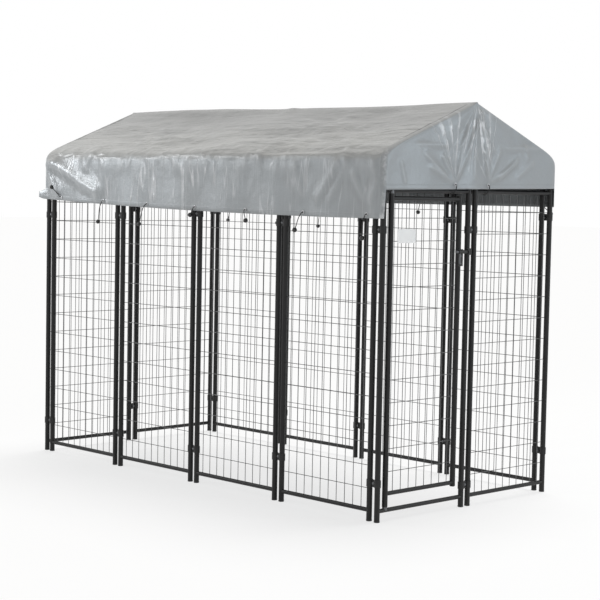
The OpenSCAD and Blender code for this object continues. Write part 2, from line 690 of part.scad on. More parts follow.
left_frame(1);  // left_frame_1
left_frame(2);  // left_frame_2
left_frame(3);  // left_frame_3
left_frame(4);  // left_frame_4
right_frame(1);  // right_frame_1
right_frame(2);  // right_frame_2
right_frame(3);  // right_frame_3
right_frame(4);  // right_frame_4
rear_frame(1);  // rear_frame_1
rear_frame(2);  // rear_frame_2
front_frame();
door_surround();
left_mesh(1);  // left_mesh_1
left_mesh(2);  // left_mesh_2
left_mesh(3);  // left_mesh_3
left_mesh(4);  // left_mesh_4
right_mesh(1);  // right_mesh_1
right_mesh(2);  // right_mesh_2
right_mesh(3);  // right_mesh_3
right_mesh(4);  // right_mesh_4
rear_mesh(1);  // rear_mesh_1
rear_mesh(2);  // rear_mesh_2
front_mesh();
door_frame();
door_mesh();
door_end_plugs();
hinge_pins();
hinge_bushes();
latch_body();
latch_screws();
latch_bolt();
latch_keeper();
clamp_outer_halves();
clamp_inner_halves();
clamp_bolts();
clamp_nuts();
foot_plugs();
top_caps();
rafter(bow_x[0], -1);  // rafter_front_left
rafter(bow_x[0], 1);  // rafter_front_right
rafter(bow_x[1], -1);  // rafter_middle_left
rafter(bow_x[1], 1);  // rafter_middle_right
rafter(bow_x[2], -1);  // rafter_rear_left
rafter(bow_x[2], 1);  // rafter_rear_right
peak(bow_x[0], [-1]);  // peak_front
peak(bow_x[1], [-1, 1]);  // peak_middle
peak(bow_x[2], [1]);  // peak_rear
ridge_pole(bow_x[1], bow_x[0]);  // ridge_pole_front
ridge_pole(bow_x[2], bow_x[1]);  // ridge_pole_rear
eave_pole(bow_x[1], bow_x[0], -1);  // eave_pole_front_left
eave_pole(bow_x[1], bow_x[0], 1);  // eave_pole_front_right
eave_pole(bow_x[2], bow_x[1], -1);  // eave_pole_rear_left
eave_pole(bow_x[2], bow_x[1], 1);  // eave_pole_rear_right
eave_elbows();
roof_legs();
canopy();
eyelets();
tie_cords();
tie_balls();
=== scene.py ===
# %% [markdown]
# # An outdoor dog kennel run, dressed for its picture
# The frame, the meshes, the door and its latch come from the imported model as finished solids.
# What is left for Blender is the look: a photographer's camera, a silver sheet with its
# wrinkles, the elastic ties that hold it down, and the finish of every metal and plastic.
# All lengths are metres, in the model's own frame: +X is the door end, +Z is up.

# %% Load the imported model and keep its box
import json
import math

import bmesh
import bpy
import numpy as np
from mathutils import Matrix

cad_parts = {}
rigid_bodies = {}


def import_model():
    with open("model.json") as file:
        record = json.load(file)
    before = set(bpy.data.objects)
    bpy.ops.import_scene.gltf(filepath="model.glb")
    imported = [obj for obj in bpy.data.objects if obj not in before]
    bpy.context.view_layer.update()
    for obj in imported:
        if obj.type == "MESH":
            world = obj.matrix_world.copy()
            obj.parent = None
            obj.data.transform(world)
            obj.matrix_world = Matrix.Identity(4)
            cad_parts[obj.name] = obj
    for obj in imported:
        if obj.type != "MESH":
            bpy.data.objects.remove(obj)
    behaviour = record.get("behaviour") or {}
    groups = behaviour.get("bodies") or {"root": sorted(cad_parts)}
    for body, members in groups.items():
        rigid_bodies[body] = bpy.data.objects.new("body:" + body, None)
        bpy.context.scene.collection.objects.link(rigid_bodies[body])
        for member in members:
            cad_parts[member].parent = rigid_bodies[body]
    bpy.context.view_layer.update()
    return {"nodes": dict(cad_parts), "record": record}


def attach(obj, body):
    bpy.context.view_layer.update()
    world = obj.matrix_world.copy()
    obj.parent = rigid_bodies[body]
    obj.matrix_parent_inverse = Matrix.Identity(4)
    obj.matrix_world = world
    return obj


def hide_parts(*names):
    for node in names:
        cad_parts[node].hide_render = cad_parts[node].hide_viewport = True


for thing in list(bpy.data.objects):
    bpy.data.objects.remove(thing)
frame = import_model()
nodes = frame["nodes"]
RUN, DOOR = "run", "door"

# %% [markdown]
# ## The camera
# A camera can be placed by eye, but the feet of the posts give it exactly: they all stand on
# the floor on a known grid. Solving for the view in which they fall where the photograph has
# them gives the eye's place, the way it looks and the lens. The lens is long, so the far posts
# are hardly smaller than the near ones.

# %% The camera
PICTURE_PX = 600
FOCAL_PX = 1592.8
SENSOR_MM = 36.0
EYE = (5.8777, -5.5573, 1.4127)
EYE_RIGHT = (0.69373, 0.71998, 0.01889)
EYE_UP = (-0.06115, 0.03275, 0.99759)
EYE_BACK = (0.71763, -0.69322, 0.06674)

camera_data = bpy.data.cameras.new("camera")
camera_data.sensor_width = SENSOR_MM
camera_data.lens = FOCAL_PX * SENSOR_MM / PICTURE_PX
camera_data.clip_end = 200
camera = bpy.data.objects.new("camera", camera_data)
bpy.context.scene.collection.objects.link(camera)
turn = np.eye(4)
turn[:3, :3] = np.array([EYE_RIGHT, EYE_UP, EYE_BACK]).T
turn[:3, 3] = EYE
camera.matrix_world = Matrix(turn.tolist())
bpy.context.scene.camera = camera
print("lens", round(camera_data.lens, 1), "mm")

# %% [markdown]
# ## Meshes from arrays
# Every new piece is a grid of points: a function of two parameters, or a profile carried along
# a path. Numpy works out all the points at once. Two small helpers turn a grid into faces and
# faces into an object, with a UV map in metres where a pattern has to follow the surface.


# %% Helpers for grids
def grid_faces(rows, cols, wrap=False):
    """Quads between neighbours of a grid whose points are numbered row by row."""
    r = np.arange(rows - 1)[:, None]
    c = np.arange(cols if wrap else cols - 1)[None, :]
    here = r * cols + c
    beside = r * cols + (c + 1) % cols
    return np.stack([here, beside, beside + cols, here + cols], -1).reshape(-1, 4)


def make_piece(name, points, faces, body, uv=None, smooth=True):
    """An object from points and faces; uv holds one pair for each corner of each face."""
    mesh = bpy.data.meshes.new(name)
    mesh.from_pydata(np.asarray(points, float).reshape(-1, 3).tolist(), [], faces)
    if uv is not None:
        layer = mesh.uv_layers.new(name="UVMap")
        layer.data.foreach_set("uv", np.asarray(uv, np.float32).ravel())
    mesh.polygons.foreach_set("use_smooth", np.full(len(mesh.polygons), smooth))
    mesh.validate()
    piece = bpy.data.objects.new(name, mesh)
    bpy.context.scene.collection.objects.link(piece)
    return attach(piece, body)


def unit(v):
    """Vectors of length one along v."""
    return v / np.maximum(np.linalg.norm(v, axis=-1, keepdims=True), 1e-12)


# %% [markdown]
# ## The ties
# Each tie is a short elastic cord with a plastic ball. The cord leaves an eyelet in the sheet's
# hem, bends over its edge and hangs; the ball keeps it straight. On the gables it passes round
# the top rail and the ball stays inside. The routes repeat the ones in the model's source.

# %% Where the ties are
END_X, WALL_Y = 1.227, 0.579
RAIL_TOP_Z, RAIL_R = 1.435, 0.0095
CANOPY_X, CANOPY_Y = 1.246, 0.601
HEM_REAR_Z, HEM_MID_Z, HEM_FRONT_Z = 1.358, 1.321, 1.312
HEM_RIGHT_Z = 1.370
GABLE_HEM_Z = 1.448
EYELET_UP = 0.018
CORD_D, BALL_D = 0.004, 0.022
TIE_AT = np.array([-0.87, -0.575, -0.289, 0.006, 0.297, 0.608, 0.922])
GABLE_TIE_AT = np.array([-0.231, 0.150])
TIE_LEAN = {-1: [-0.066, -0.032, -0.049, -0.022, 0.015, -0.043, -0.015],
            1: [-0.043, 0.008, -0.017, -0.012, -0.012, -0.02, 0.06]}
TIE_DROP = {-1: [-0.052, 0.108, 0.101, 0.039, 0.050, 0.081, 0.103],
            1: [0.138, 0.144, 0.152, 0.06, 0.060, 0.1, 0.05]}


def hem_height(share, side):
    """Height of a long side's hem: a curve through three heights on the left, level on the right."""
    bow = HEM_MID_Z - (HEM_REAR_Z + HEM_FRONT_Z) / 2
    left = HEM_REAR_Z + (HEM_FRONT_Z - HEM_REAR_Z) * (share + 1) / 2 + bow * (1 - share**2)
    return left if side < 0 else HEM_RIGHT_Z + 0 * share


print("side ties", 2 * len(TIE_AT), "gable ties", 2 * len(GABLE_TIE_AT))


# %% Cords and balls
def smooth_path(knots, count):
    """A curve through the knots: cubic pieces whose slope at a knot joins its two neighbours."""
    knots = np.asarray(knots, float)
    at = np.concatenate([[0], np.cumsum(np.linalg.norm(np.diff(knots, axis=0), axis=1))])
    slope = np.gradient(knots, at, axis=0)
    t = np.linspace(0, at[-1], count)
    i = np.clip(np.searchsorted(at, t, side="right") - 1, 0, len(at) - 2)
    step = (at[i + 1] - at[i])[:, None]
    u = ((t - at[i]) / step[:, 0])[:, None]
    return (knots[i] * (1 + 2 * u) * (1 - u) ** 2 + slope[i] * step * u * (1 - u) ** 2
            + knots[i + 1] * u**2 * (3 - 2 * u) + slope[i + 1] * step * u**2 * (u - 1))


def tube(path, radius, sides, across):
    """Rings square to the path, each turned so that its first point lies along `across`."""
    along = unit(np.gradient(path, axis=0))
    first = unit(np.cross(along, across))
    second = np.cross(along, first)
    turn = np.linspace(0, 2 * np.pi, sides, endpoint=False)[None, :, None]
    return path[:, None] + radius * (np.cos(turn) * first[:, None] + np.sin(turn) * second[:, None])


def cord_piece(name, path, across, body):
    """A cord's tube with closed ends and a UV map of metres along it and turns round it."""
    sides, count = 10, len(path)
    rings = tube(path, CORD_D / 2, sides, across)
    walls = grid_faces(count, sides, wrap=True)[:, ::-1]
    ends = [list(range(sides)), list(range((count - 1) * sides, count * sides))[::-1]]
    run = np.concatenate([[0], np.cumsum(np.linalg.norm(np.diff(path, axis=0), axis=1))])
    corner = walls % sides
    # The last face of a ring ends at a whole turn, not at none
    round_share = corner / sides
    round_share[:, 1:3] = np.where(corner[:, 1:3] == 0, 1.0, round_share[:, 1:3])
    uv = np.stack([run[walls // sides], round_share], -1).reshape(-1, 2)
    uv = np.concatenate([uv, np.zeros((2 * sides, 2))])
    return make_piece(name, rings, walls.tolist() + ends, body, uv), run[-1]


DIMPLE_R, DIMPLE_DEEP = 0.0038, 0.0022
MOULD_LINE_HIGH, MOULD_LINE_WIDE = 0.00022, 0.0007


def ball_piece(name, centre, axis, body):
    """A ball turned about its cord: a circle with a dimple where the cord enters and a mould line."""
    rows, sides = 25, 32
    a = np.linspace(0.0, np.pi, rows)
    r = np.sin(a) * BALL_D / 2
    h = np.cos(a) * BALL_D / 2
    h = h - DIMPLE_DEEP * np.exp(-((r / DIMPLE_R) ** 2)) * (h > 0)
    r = r + MOULD_LINE_HIGH * np.exp(-((h / MOULD_LINE_WIDE) ** 2))
    axis = unit(np.asarray(axis, float))
    first = unit(np.cross(axis, [0.3, 0.5, 0.81]))
    second = np.cross(axis, first)
    turn = np.linspace(0, 2 * np.pi, sides, endpoint=False)[None, :, None]
    rings = (np.asarray(centre) + h[1:-1, None, None] * axis
             + r[1:-1, None, None] * (np.cos(turn) * first + np.sin(turn) * second))
    tips = np.array([np.asarray(centre) + h[0] * axis, np.asarray(centre) + h[-1] * axis])
    points = np.concatenate([rings.reshape(-1, 3), tips])
    count = (rows - 2) * sides
    k = np.arange(sides)
    caps = np.concatenate([np.stack([np.full(sides, count), k, (k + 1) % sides], -1),
                           np.stack([np.full(sides, count + 1), count - sides + (k + 1) % sides,
                                     count - sides + k], -1)])
    walls = grid_faces(rows - 2, sides, wrap=True)[:, ::-1]
    return make_piece(name, points, walls.tolist() + caps.tolist(), body)


def add_tie(name, knots, centre, across):
    """One tie: its cord along the knots, its ball beyond the last one, both on the run."""
    path = smooth_path(knots, 24)
    cord, length = cord_piece("cord_" + name, path, across, RUN)
    ball = ball_piece("ball_" + name, centre, path[-1] - np.asarray(centre), RUN)
    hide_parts("tie_cords")
    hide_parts("tie_balls")
    return cord, ball, length


CORD_LIFT, BEND_OUT, BEND_DROP = 0.0008, 0.011, 0.012
LOOP_OUT, LOOP_DROP = 0.007, 0.0015
BALL_GAP, SWELL = 0.00005, 0.014
ties = []
for side in (-1, 1):
    for k, share in enumerate(TIE_AT):
        lean, drop = TIE_LEAN[side][k], TIE_DROP[side][k]
        way = math.copysign(1, drop)
        out = BALL_D / 2 + SWELL / 2 if drop < 0 else BEND_OUT
        eye = np.array([share * CANOPY_X, side * CANOPY_Y, hem_height(share, side) + EYELET_UP])
        bend = eye + [0.2 * lean, side * BEND_OUT, -way * BEND_DROP]
        centre = eye + [lean, side * out, -drop]
        end = centre - unit(centre - bend) * (BALL_D / 2 + BALL_GAP)
        loop = eye + [0.05 * lean, side * LOOP_OUT, -way * LOOP_DROP]
        knots = [eye + [0, side * CORD_LIFT, 0], loop, bend, end]
        name = ("left_%d" if side < 0 else "right_%d") % (k + 1)
        ties.append(add_tie(name, knots, centre, (1, 0, 0)))
WRAP_GAP = 0.0015
WRAP_R = RAIL_R + CORD_D / 2 + WRAP_GAP
for end_side, end_name in ((-1, "rear"), (1, "front")):
    for k, share in enumerate(GABLE_TIE_AT):
        y = share * CANOPY_Y
        around = np.radians([-45, -90, -135])
        high = GABLE_HEM_Z + EYELET_UP
        knots = np.array([[CANOPY_X + CORD_LIFT, y, high], [CANOPY_X + 0.0075, y, high - LOOP_DROP],
                          [CANOPY_X + 0.005, y, RAIL_TOP_Z + 0.006]]
                         + [[END_X + WRAP_R * math.cos(a), y, RAIL_TOP_Z + WRAP_R * math.sin(a)]
                            for a in around]
                         + [[END_X - WRAP_R - 0.004, y, RAIL_TOP_Z + 0.002]])
        knots[:, 0] *= end_side
        centre = knots[-1] + unit(knots[-1] - knots[-2]) * (BALL_D / 2 + BALL_GAP)
        ties.append(add_tie("%s_%d" % (end_name, k + 1), knots, centre, (0, 1, 0)))
print("cords", len(ties), "lengths", [round(t[2], 3) for t in ties])

# %% [markdown]
# ## The canopy
# The real canopy is one piece of silver sheet, pulled over the roof frame and tied down. It is
# neither flat panels nor soft cloth: it sags a little between the bows, ripples along the slopes,
# breaks into upright pleats below the eaves and shows sharp creases that fan out from the ties.
# A cloth simulation gives soft folds, so here the base shape is worked out and the wrinkles are
# added as what they are: ripples are smooth noise, a crease is a ridge along a line.


# %% Wrinkle functions
def ripple(u, v, seed):
    """Smooth noise: random heights on a square lattice, joined by a smooth step both ways."""
    heights = np.random.default_rng(seed).uniform(-1, 1, (64, 64))
    i, j = np.floor(u).astype(int), np.floor(v).astype(int)
    f, g = u - i, v - j
    f, g = f * f * f * (f * (6 * f - 15) + 10), g * g * g * (g * (6 * g - 15) + 10)
    low = heights[i % 64, j % 64] * (1 - f) + heights[(i + 1) % 64, j % 64] * f
    high = heights[i % 64, (j + 1) % 64] * (1 - f) + heights[(i + 1) % 64, (j + 1) % 64] * f
    return low * (1 - g) + high * g


def fold(u, v, seed):
    """Ridged noise: sharp along its crests, where smooth noise passes nought."""
    return 0.5 - np.abs(ripple(u, v, seed))


def crease(u, v, line, height, width, sharp=1.4, fade=0.2):
    """A ridge along the line u0, v0, u1, v1: a bell across it, fading towards both ends."""
    u0, v0, u1, v1 = line
    du, dv = u1 - u0, v1 - v0
    share = ((u - u0) * du + (v - v0) * dv) / (du * du + dv * dv)
    along = np.clip(share, 0, 1)
    away = np.hypot(u - u0 - along * du, v - v0 - along * dv)
    ends = np.clip(np.minimum(share, 1 - share) / fade + 0.15, 0, 1)
    return height * np.exp(-((away / width) ** sharp)) * ends


def step(low, high, value):
    """A smooth rise from 0 at low to 1 at high."""
    t = np.clip((value - low) / (high - low), 0, 1)
    return t * t * (3 - 2 * t)


def bell(value, centre, width):
    """A bump of height one at the centre."""
    return np.exp(-(((value - centre) / width) ** 2))


# %% The canopy's base shape
RIDGE_Z, EAVE_Z, SHEET_OUT = 1.818, 1.572, 0.019
CORNER_R = 0.023
SHOULDER, BEND_START, BEND_END_Z = 0.014, 0.52, 1.556
SLOPE = math.atan2(RIDGE_Z - EAVE_Z, WALL_Y)
RIDGE_ROWS, SLOPE_ROWS, EAVE_ROWS, HANG_ROWS = 4, 28, 14, 15

# Across the roof: over the ridge, down the slope with a growing shoulder, one soft bend,
# and then straight down to the hem
over = np.linspace(math.pi / 2, math.pi / 2 - SLOPE, RIDGE_ROWS)
ridge_arc = np.stack([SHEET_OUT * np.cos(over), RIDGE_Z + SHEET_OUT * np.sin(over)], -1)
slope_at = np.linspace(0, BEND_START, SLOPE_ROWS + 2)[1:-1, None]
slope_way = np.array([math.cos(SLOPE), -math.sin(SLOPE)])
slope_out = np.array([math.sin(SLOPE), math.cos(SLOPE)])
slope_line = (np.array([0, RIDGE_Z]) + slope_at * slope_way
              + (SHEET_OUT + SHOULDER * slope_at / BEND_START) * slope_out)
bend_from = np.array([0, RIDGE_Z]) + BEND_START * slope_way + (SHEET_OUT + SHOULDER) * slope_out
bend_to = np.array([CANOPY_Y, BEND_END_Z])
bend_slope = math.tan(SLOPE - SHOULDER / BEND_START)
bend_knee = np.array([CANOPY_Y, bend_from[1] - (CANOPY_Y - bend_from[0]) * bend_slope])
BEND_FULL = 0.78
pull_from = bend_from + BEND_FULL * (bend_knee - bend_from)
pull_to = bend_to + BEND_FULL * (bend_knee - bend_to)
t = np.linspace(0, 1, EAVE_ROWS)[:, None]
eave_bend = ((1 - t) ** 3 * bend_from + 3 * t * (1 - t) ** 2 * pull_from
             + 3 * t**2 * (1 - t) * pull_to + t**3 * bend_to)
profile = np.concatenate([ridge_arc, slope_line, eave_bend])
roof_rows = len(profile)
rows = roof_rows + HANG_ROWS
hang_share = np.linspace(0, 1, HANG_ROWS + 1)[1:]

# Round the roof: side, corner, gable, and the same again; each column has a place and a facing
SEAM_IN = 0.030
seam_share = (CANOPY_X - SEAM_IN + np.array([-9, -5, -2, 0, 2, 5, 9]) / 1000) / (CANOPY_X - CORNER_R)
seam_share = seam_share[seam_share < 1]
go = np.sort(np.concatenate([np.linspace(-1, 1, 226), seam_share, -seam_share]))
SIDE_COLS, GABLE_COLS, CORNER_COLS = len(go), 150, 4
gable_go = np.linspace(-1, 1, GABLE_COLS + 2)[1:-1]
arc = np.linspace(-90, 0, CORNER_COLS + 2)[1:]
one, flat = np.ones, np.zeros
px = np.concatenate([go, one(CORNER_COLS + 1), one(GABLE_COLS), one(CORNER_COLS + 1),
                     -go, -one(CORNER_COLS + 1), -one(GABLE_COLS), -one(CORNER_COLS + 1)])
py = np.concatenate([-one(SIDE_COLS), -one(CORNER_COLS + 1), gable_go, one(CORNER_COLS + 1),
                     one(SIDE_COLS), one(CORNER_COLS + 1), -gable_go, -one(CORNER_COLS + 1)])
facing = np.radians(np.concatenate(
    [np.full(SIDE_COLS, -90.0), arc, flat(GABLE_COLS), -arc[::-1],
     np.full(SIDE_COLS, 90.0), 180 + arc, np.full(GABLE_COLS, 180.0), 180 - arc[::-1]]))
cols = len(px)
half = cols // 2
is_left = np.arange(cols) < SIDE_COLS
is_right = (np.arange(cols) >= half) & (np.arange(cols) < half + SIDE_COLS)
is_side = is_left | is_right
is_front = ~is_side & (np.arange(cols) < half)

width = np.concatenate([profile[:, 0], np.full(HANG_ROWS, CANOPY_Y)])
corner_r = np.minimum(CORNER_R, width)
x = px[None, :] * (CANOPY_X - corner_r[:, None]) + corner_r[:, None] * np.cos(facing)[None, :]
y = py[None, :] * (width - corner_r)[:, None] + corner_r[:, None] * np.sin(facing)[None, :]
# At the door end the hem hangs a little lower on the left than on the right
GABLE_HEM_LOW, GABLE_HEM_HIGH = 1.436, 1.457
hem = np.where(is_left, hem_height(px, -1), np.where(is_right, HEM_RIGHT_Z, GABLE_HEM_Z))
hem = np.where(is_front, GABLE_HEM_LOW + (GABLE_HEM_HIGH - GABLE_HEM_LOW) * (py + 1) / 2, hem)
# The long sides reach round the corners as far as their hem does
wraps = ~is_side & (np.abs(np.sin(facing)) > 0.5)
hem = np.where(wraps, np.where(py < 0, hem_height(px, -1), HEM_RIGHT_Z), hem)
roof_z = np.repeat(profile[:, 1:2], cols, 1)
hang_z = profile[-1, 1] + hang_share[:, None] * (hem - profile[-1, 1])[None, :]
z = np.concatenate([roof_z, hang_z])
# Over the rear peak the sheet stands a little slack
REAR_SLACK = 0.010
roof_share = np.clip((z - BEND_END_Z) / (profile[0, 1] - BEND_END_Z), 0, 1)
z = z + REAR_SLACK * (1 - step(-CANOPY_X, -0.35, x)) * roof_share
base = np.stack([x, y, z], -1)
print("canopy grid", rows, "by", cols)

# %% [markdown]
# The wrinkles push the sheet along its own normal. Near a bow the sheet lies on the tube, so there
# it hardly moves inwards; between the bows it sags. Ties hold the hem, and it swells between them.
# Heights and lengths below are in metres, read off the photograph. A line's four numbers
# are its two ends: how far along the run, and how far down the sheet.

# %% The canopy's slopes
down = np.concatenate([[0], np.cumsum(np.hypot(*np.diff(profile, axis=0).T))])
below = np.maximum(EAVE_Z - z, 0)
run_down = np.concatenate([np.repeat(down[:, None], cols, 1), down[-1] + BEND_END_Z - hang_z])
EAVE_AT = down[roof_rows - EAVE_ROWS // 2]
slope_mask = step(0.02, 0.07, run_down) * (1 - step(EAVE_AT - 0.02, EAVE_AT + 0.02, run_down))
hang_mask = step(EAVE_AT + 0.01, EAVE_AT + 0.05, run_down)
side_mask = is_side[None, :] * step(0.0, 0.05, CANOPY_X - np.abs(x))
gable_mask = ~is_side[None, :] * step(0.0, 0.05, width[:, None] - np.abs(y))

BOWS = np.array([-END_X, 0.023, END_X])
bay = np.where(x < BOWS[1], (x - BOWS[0]) / (BOWS[1] - BOWS[0]), (x - BOWS[1]) / (BOWS[2] - BOWS[1]))
slack = np.sin(np.pi * np.clip(bay, 0, 1)) ** 2
SAG = 0.014
sag = -SAG * slack * np.sin(np.pi * np.clip(run_down / EAVE_AT, 0, 1)) ** 0.7
tilt = x + 0.3 * run_down * np.where(is_left, 1, -1)
low_half = step(0.10, 0.42, run_down)
loose = 0.35 + 0.65 * slack
slopes = (0.0130 * ripple(tilt / 0.50, run_down / 0.13, 3) * (0.35 + 0.65 * low_half)
          + 0.0100 * fold(tilt / 0.42, run_down / 0.16, 11) * (0.3 + 0.7 * low_half)
          + 0.0085 * fold((x - 0.8 * run_down) / 0.33, (run_down + 0.3 * x) / 0.19, 5)
          + 0.0062 * fold(x / 0.12, run_down / 0.085, 8) * (0.4 + 0.6 * low_half)
          + 0.0040 * fold(tilt / 0.075, run_down / 0.055, 13) * low_half)
LONG_FOLDS = ((-1.05, 0.50, -0.30, 0.46), (-0.62, 0.40, 0.12, 0.44), (-0.10, 0.50, 0.66, 0.45),
              (0.30, 0.36, 1.02, 0.42), (-1.12, 0.40, -0.70, 0.33), (0.55, 0.53, 1.12, 0.50),
              (-0.45, 0.29, 0.25, 0.33), (-0.95, 0.22, -0.55, 0.27))
for k, line in enumerate(LONG_FOLDS):
    slopes += crease(x, run_down, line, 0.0068 - 0.0004 * k, 0.021)
rng = np.random.default_rng(21)
for _ in range(40):
    u0, v0 = rng.uniform(-1.15, 1.0), rng.uniform(0.12, 0.60)
    long, lean = rng.uniform(0.10, 0.34), rng.normal(0, 0.3)
    line = (u0, v0, u0 + long, v0 + long * lean)
    slopes += crease(x, run_down, line, rng.uniform(0.002, 0.005), rng.uniform(0.009, 0.016))
billow = np.where(x < BOWS[1], 0.011, -0.0045) * slack + 0.0013 * ripple(x / 0.21, 0 * x, 91)
billow += 0.004 * bell(x, BOWS[1] + 0.03, 0.04)
ridge_dip = billow * (1 - step(0.0, 0.16, run_down))
# By the rear corner the lower slope is drawn tight over the eave
drawn = is_left * (1 - step(-0.95, -0.55, x)) * step(0.34, 0.52, run_down)
# Folds are ridges, so their sum is set lower. On a bow the sheet sinks by ON_BOW at most, and only
# between the bows by up to OFF_BOW more
FOLD_GAIN, FOLD_LOWER, ON_BOW, OFF_BOW = 1.05, 0.005, 0.006, 0.03
slopes = FOLD_GAIN * (slopes - FOLD_LOWER) * loose * (1 - 0.7 * drawn)
slopes = np.maximum(slopes, -ON_BOW - OFF_BOW * slack)
displace = side_mask * (slope_mask * (sag + slopes) + ridge_dip)

# %% The canopy's long sides
# Swells between the ties, and pleats that start at the eave
stops = np.concatenate([[-1], TIE_AT, [1]])
span = np.clip(np.searchsorted(stops, px, side="right") - 1, 0, len(stops) - 2)
gap = stops[span + 1] - stops[span]
swell = np.sin(np.pi * (px - stops[span]) / gap) ** 2 * np.minimum(1, gap / 0.33)
fall = np.clip(below / np.maximum(EAVE_Z - hem, 0.01)[None, :], 0, 1)
from_tie = np.min(np.abs(px[:, None] - TIE_AT), 1) * CANOPY_X
hold = 1 - np.exp(-((from_tie[None, :] / 0.04) ** 2)) * step(0.4, 0.9, fall)
hang = SWELL * 0.9 * swell[None, :] * fall**1.2
hang = hang + 0.0028 * ripple(x / 0.13, below / 0.5, 31) + 0.0030 * fold(x / 0.16, below / 0.6, 37)
hang += 0.0045 * bell(below, 0.045, 0.04) * (0.6 + 0.4 * ripple(x / 0.22, 0 * x, 43))
for on_side, seed in ((is_left, 51), (is_right, 52)):
    rng = np.random.default_rng(seed)
    for _ in range(46):
        u0, lean, ends = rng.uniform(-1.2, 1.2), rng.normal(0, 0.02), rng.uniform(0.04, 0.22)
        hang += on_side * crease(x, below, (u0, -0.03, u0 + lean, ends), rng.uniform(0.001, 0.0034),
                                 rng.uniform(0.008, 0.014), sharp=1.3, fade=0.4)
for share in TIE_AT:
    for lean in (-0.10, -0.02, 0.07):
        line = (share * CANOPY_X, 0.20, share * CANOPY_X + lean, 0.07)
        hang += is_side * crease(x, below, line, 0.0026, 0.011, sharp=1.3)
# The rear corner on the left is pulled towards the first ties
CORNER_PULLS = ((-1.225, 0.0, -0.72, 0.19, 0.022, 0.034), (-1.225, 0.01, -1.10, 0.21, 0.014, 0.024),
                (-1.20, 0.06, -0.78, 0.215, -0.008, 0.026),
                (-1.19, -0.01, -0.93, 0.09, 0.007, 0.020), (-1.21, 0.06, -1.15, 0.20, 0.008, 0.018),
                (-0.99, 0.0, -0.96, 0.17, 0.004, 0.012), (-0.92, 0.02, -0.89, 0.19, 0.004, 0.012))
# Near the door end a few broad folds lean towards the last two ties
FRONT_PULLS = ((0.985, 0.0, 0.835, 0.20, 0.010, 0.022), (1.02, 0.04, 0.91, 0.21, 0.005, 0.015),
               (1.06, 0.05, 1.14, 0.20, 0.006, 0.017), (1.215, 0.09, 1.165, 0.21, 0.007, 0.015),
               (0.69, 0.01, 0.75, 0.19, 0.006, 0.016))
for u0, v0, u1, v1, high, wide in CORNER_PULLS + FRONT_PULLS:
    hang += is_left * crease(x, below, (u0, v0, u1, v1), high, wide, sharp=1.3, fade=0.12)
eave_wave = (0.0048 * fold(x / 0.19, 0 * x, 61) + 0.0022 * ripple(x / 0.08, 0 * x, 63)
             ) * bell(run_down, EAVE_AT + 0.01, 0.045)
# Short folds roll over the eave, half on the slope and half on the side
eave_rolls = 0 * x
for on_side, seed in ((is_left, 81), (is_right, 82)):
    rng = np.random.default_rng(seed)
    for _ in range(26):
        u0, lean, ends = rng.uniform(-1.15, 1.15), rng.normal(0, 0.05), rng.uniform(0.05, 0.11)
        line = (u0, EAVE_AT - ends, u0 + lean, EAVE_AT + ends)
        high, wide = rng.uniform(0.002, 0.007), rng.uniform(0.012, 0.022)
        eave_rolls += on_side * crease(x, run_down, line, high, wide)
# Where folds meet, they merge into one that is hardly higher
ROLL_HIGH = 0.008
eave_rolls = ROLL_HIGH * np.tanh(eave_rolls / ROLL_HIGH)
displace += side_mask * (hang_mask * hold * hang + (eave_wave + eave_rolls) * hold)

# %% The canopy's gables
# Creases fan out from the two ties and from the peak; the last two are level, from the packing
GABLE_FANS = ((-0.139, 1.470, 0.03, 1.80, 0.0100), (-0.139, 1.470, -0.06, 1.76, 0.0080),
              (-0.139, 1.470, -0.24, 1.60, 0.0084), (-0.139, 1.470, -0.33, 1.545, 0.0072),
              (0.090, 1.475, 0.02, 1.81, 0.0100), (0.090, 1.475, 0.06, 1.74, 0.0072),
              (0.090, 1.475, 0.17, 1.64, 0.0084), (0.090, 1.475, 0.30, 1.58, 0.0072),
              (-0.02, 1.48, 0.0, 1.79, 0.0080), (0.16, 1.49, 0.30, 1.60, 0.0060),
              (-0.36, 1.60, -0.20, 1.50, 0.0060), (0.28, 1.50, 0.42, 1.585, 0.0060),
              (-0.50, 1.57, -0.47, 1.46, 0.0052), (0.34, 1.66, 0.37, 1.585, 0.0052),
              (-0.02, 1.80, -0.12, 1.62, 0.0072), (0.02, 1.80, 0.10, 1.60, 0.0072),
              (-0.42, 1.636, -0.18, 1.637, 0.0044), (0.19, 1.636, 0.50, 1.644, 0.0060))
fans = 0 * x
for u0, v0, u1, v1, high in GABLE_FANS:
    fans += crease(y, z, (u0, v0, u1, v1), high, 0.010, sharp=1.25, fade=0.15)
gable_stops = np.concatenate([[-1], GABLE_TIE_AT, [1]])
gable_span = np.clip(np.searchsorted(gable_stops, py, side="right") - 1, 0, 2)
gable_gap = gable_stops[gable_span + 1] - gable_stops[gable_span]
gable_swell = np.sin(np.pi * (py - gable_stops[gable_span]) / gable_gap) ** 2
gable_low = np.clip((RIDGE_Z - z) / (RIDGE_Z - GABLE_HEM_Z), 0, 1)
gables = (0.0095 * gable_swell[None, :] * gable_low**0.5 + fans
          + 0.0035 * fold(y / 0.21, z / 0.17, 71) + 0.0032 * ripple(y / 0.15, z / 0.24, 73))
gable_from_tie = np.min(np.abs(py[:, None] - GABLE_TIE_AT), 1) * CANOPY_Y
by_hem = 1 - step(0, 0.1, z - GABLE_HEM_Z)
gable_hold = 1 - np.exp(-((gable_from_tie[None, :] / 0.03) ** 2)) * by_hem
displace += gable_mask * gables * gable_hold * step(0.0, 0.05, RIDGE_Z + SHEET_OUT - z)

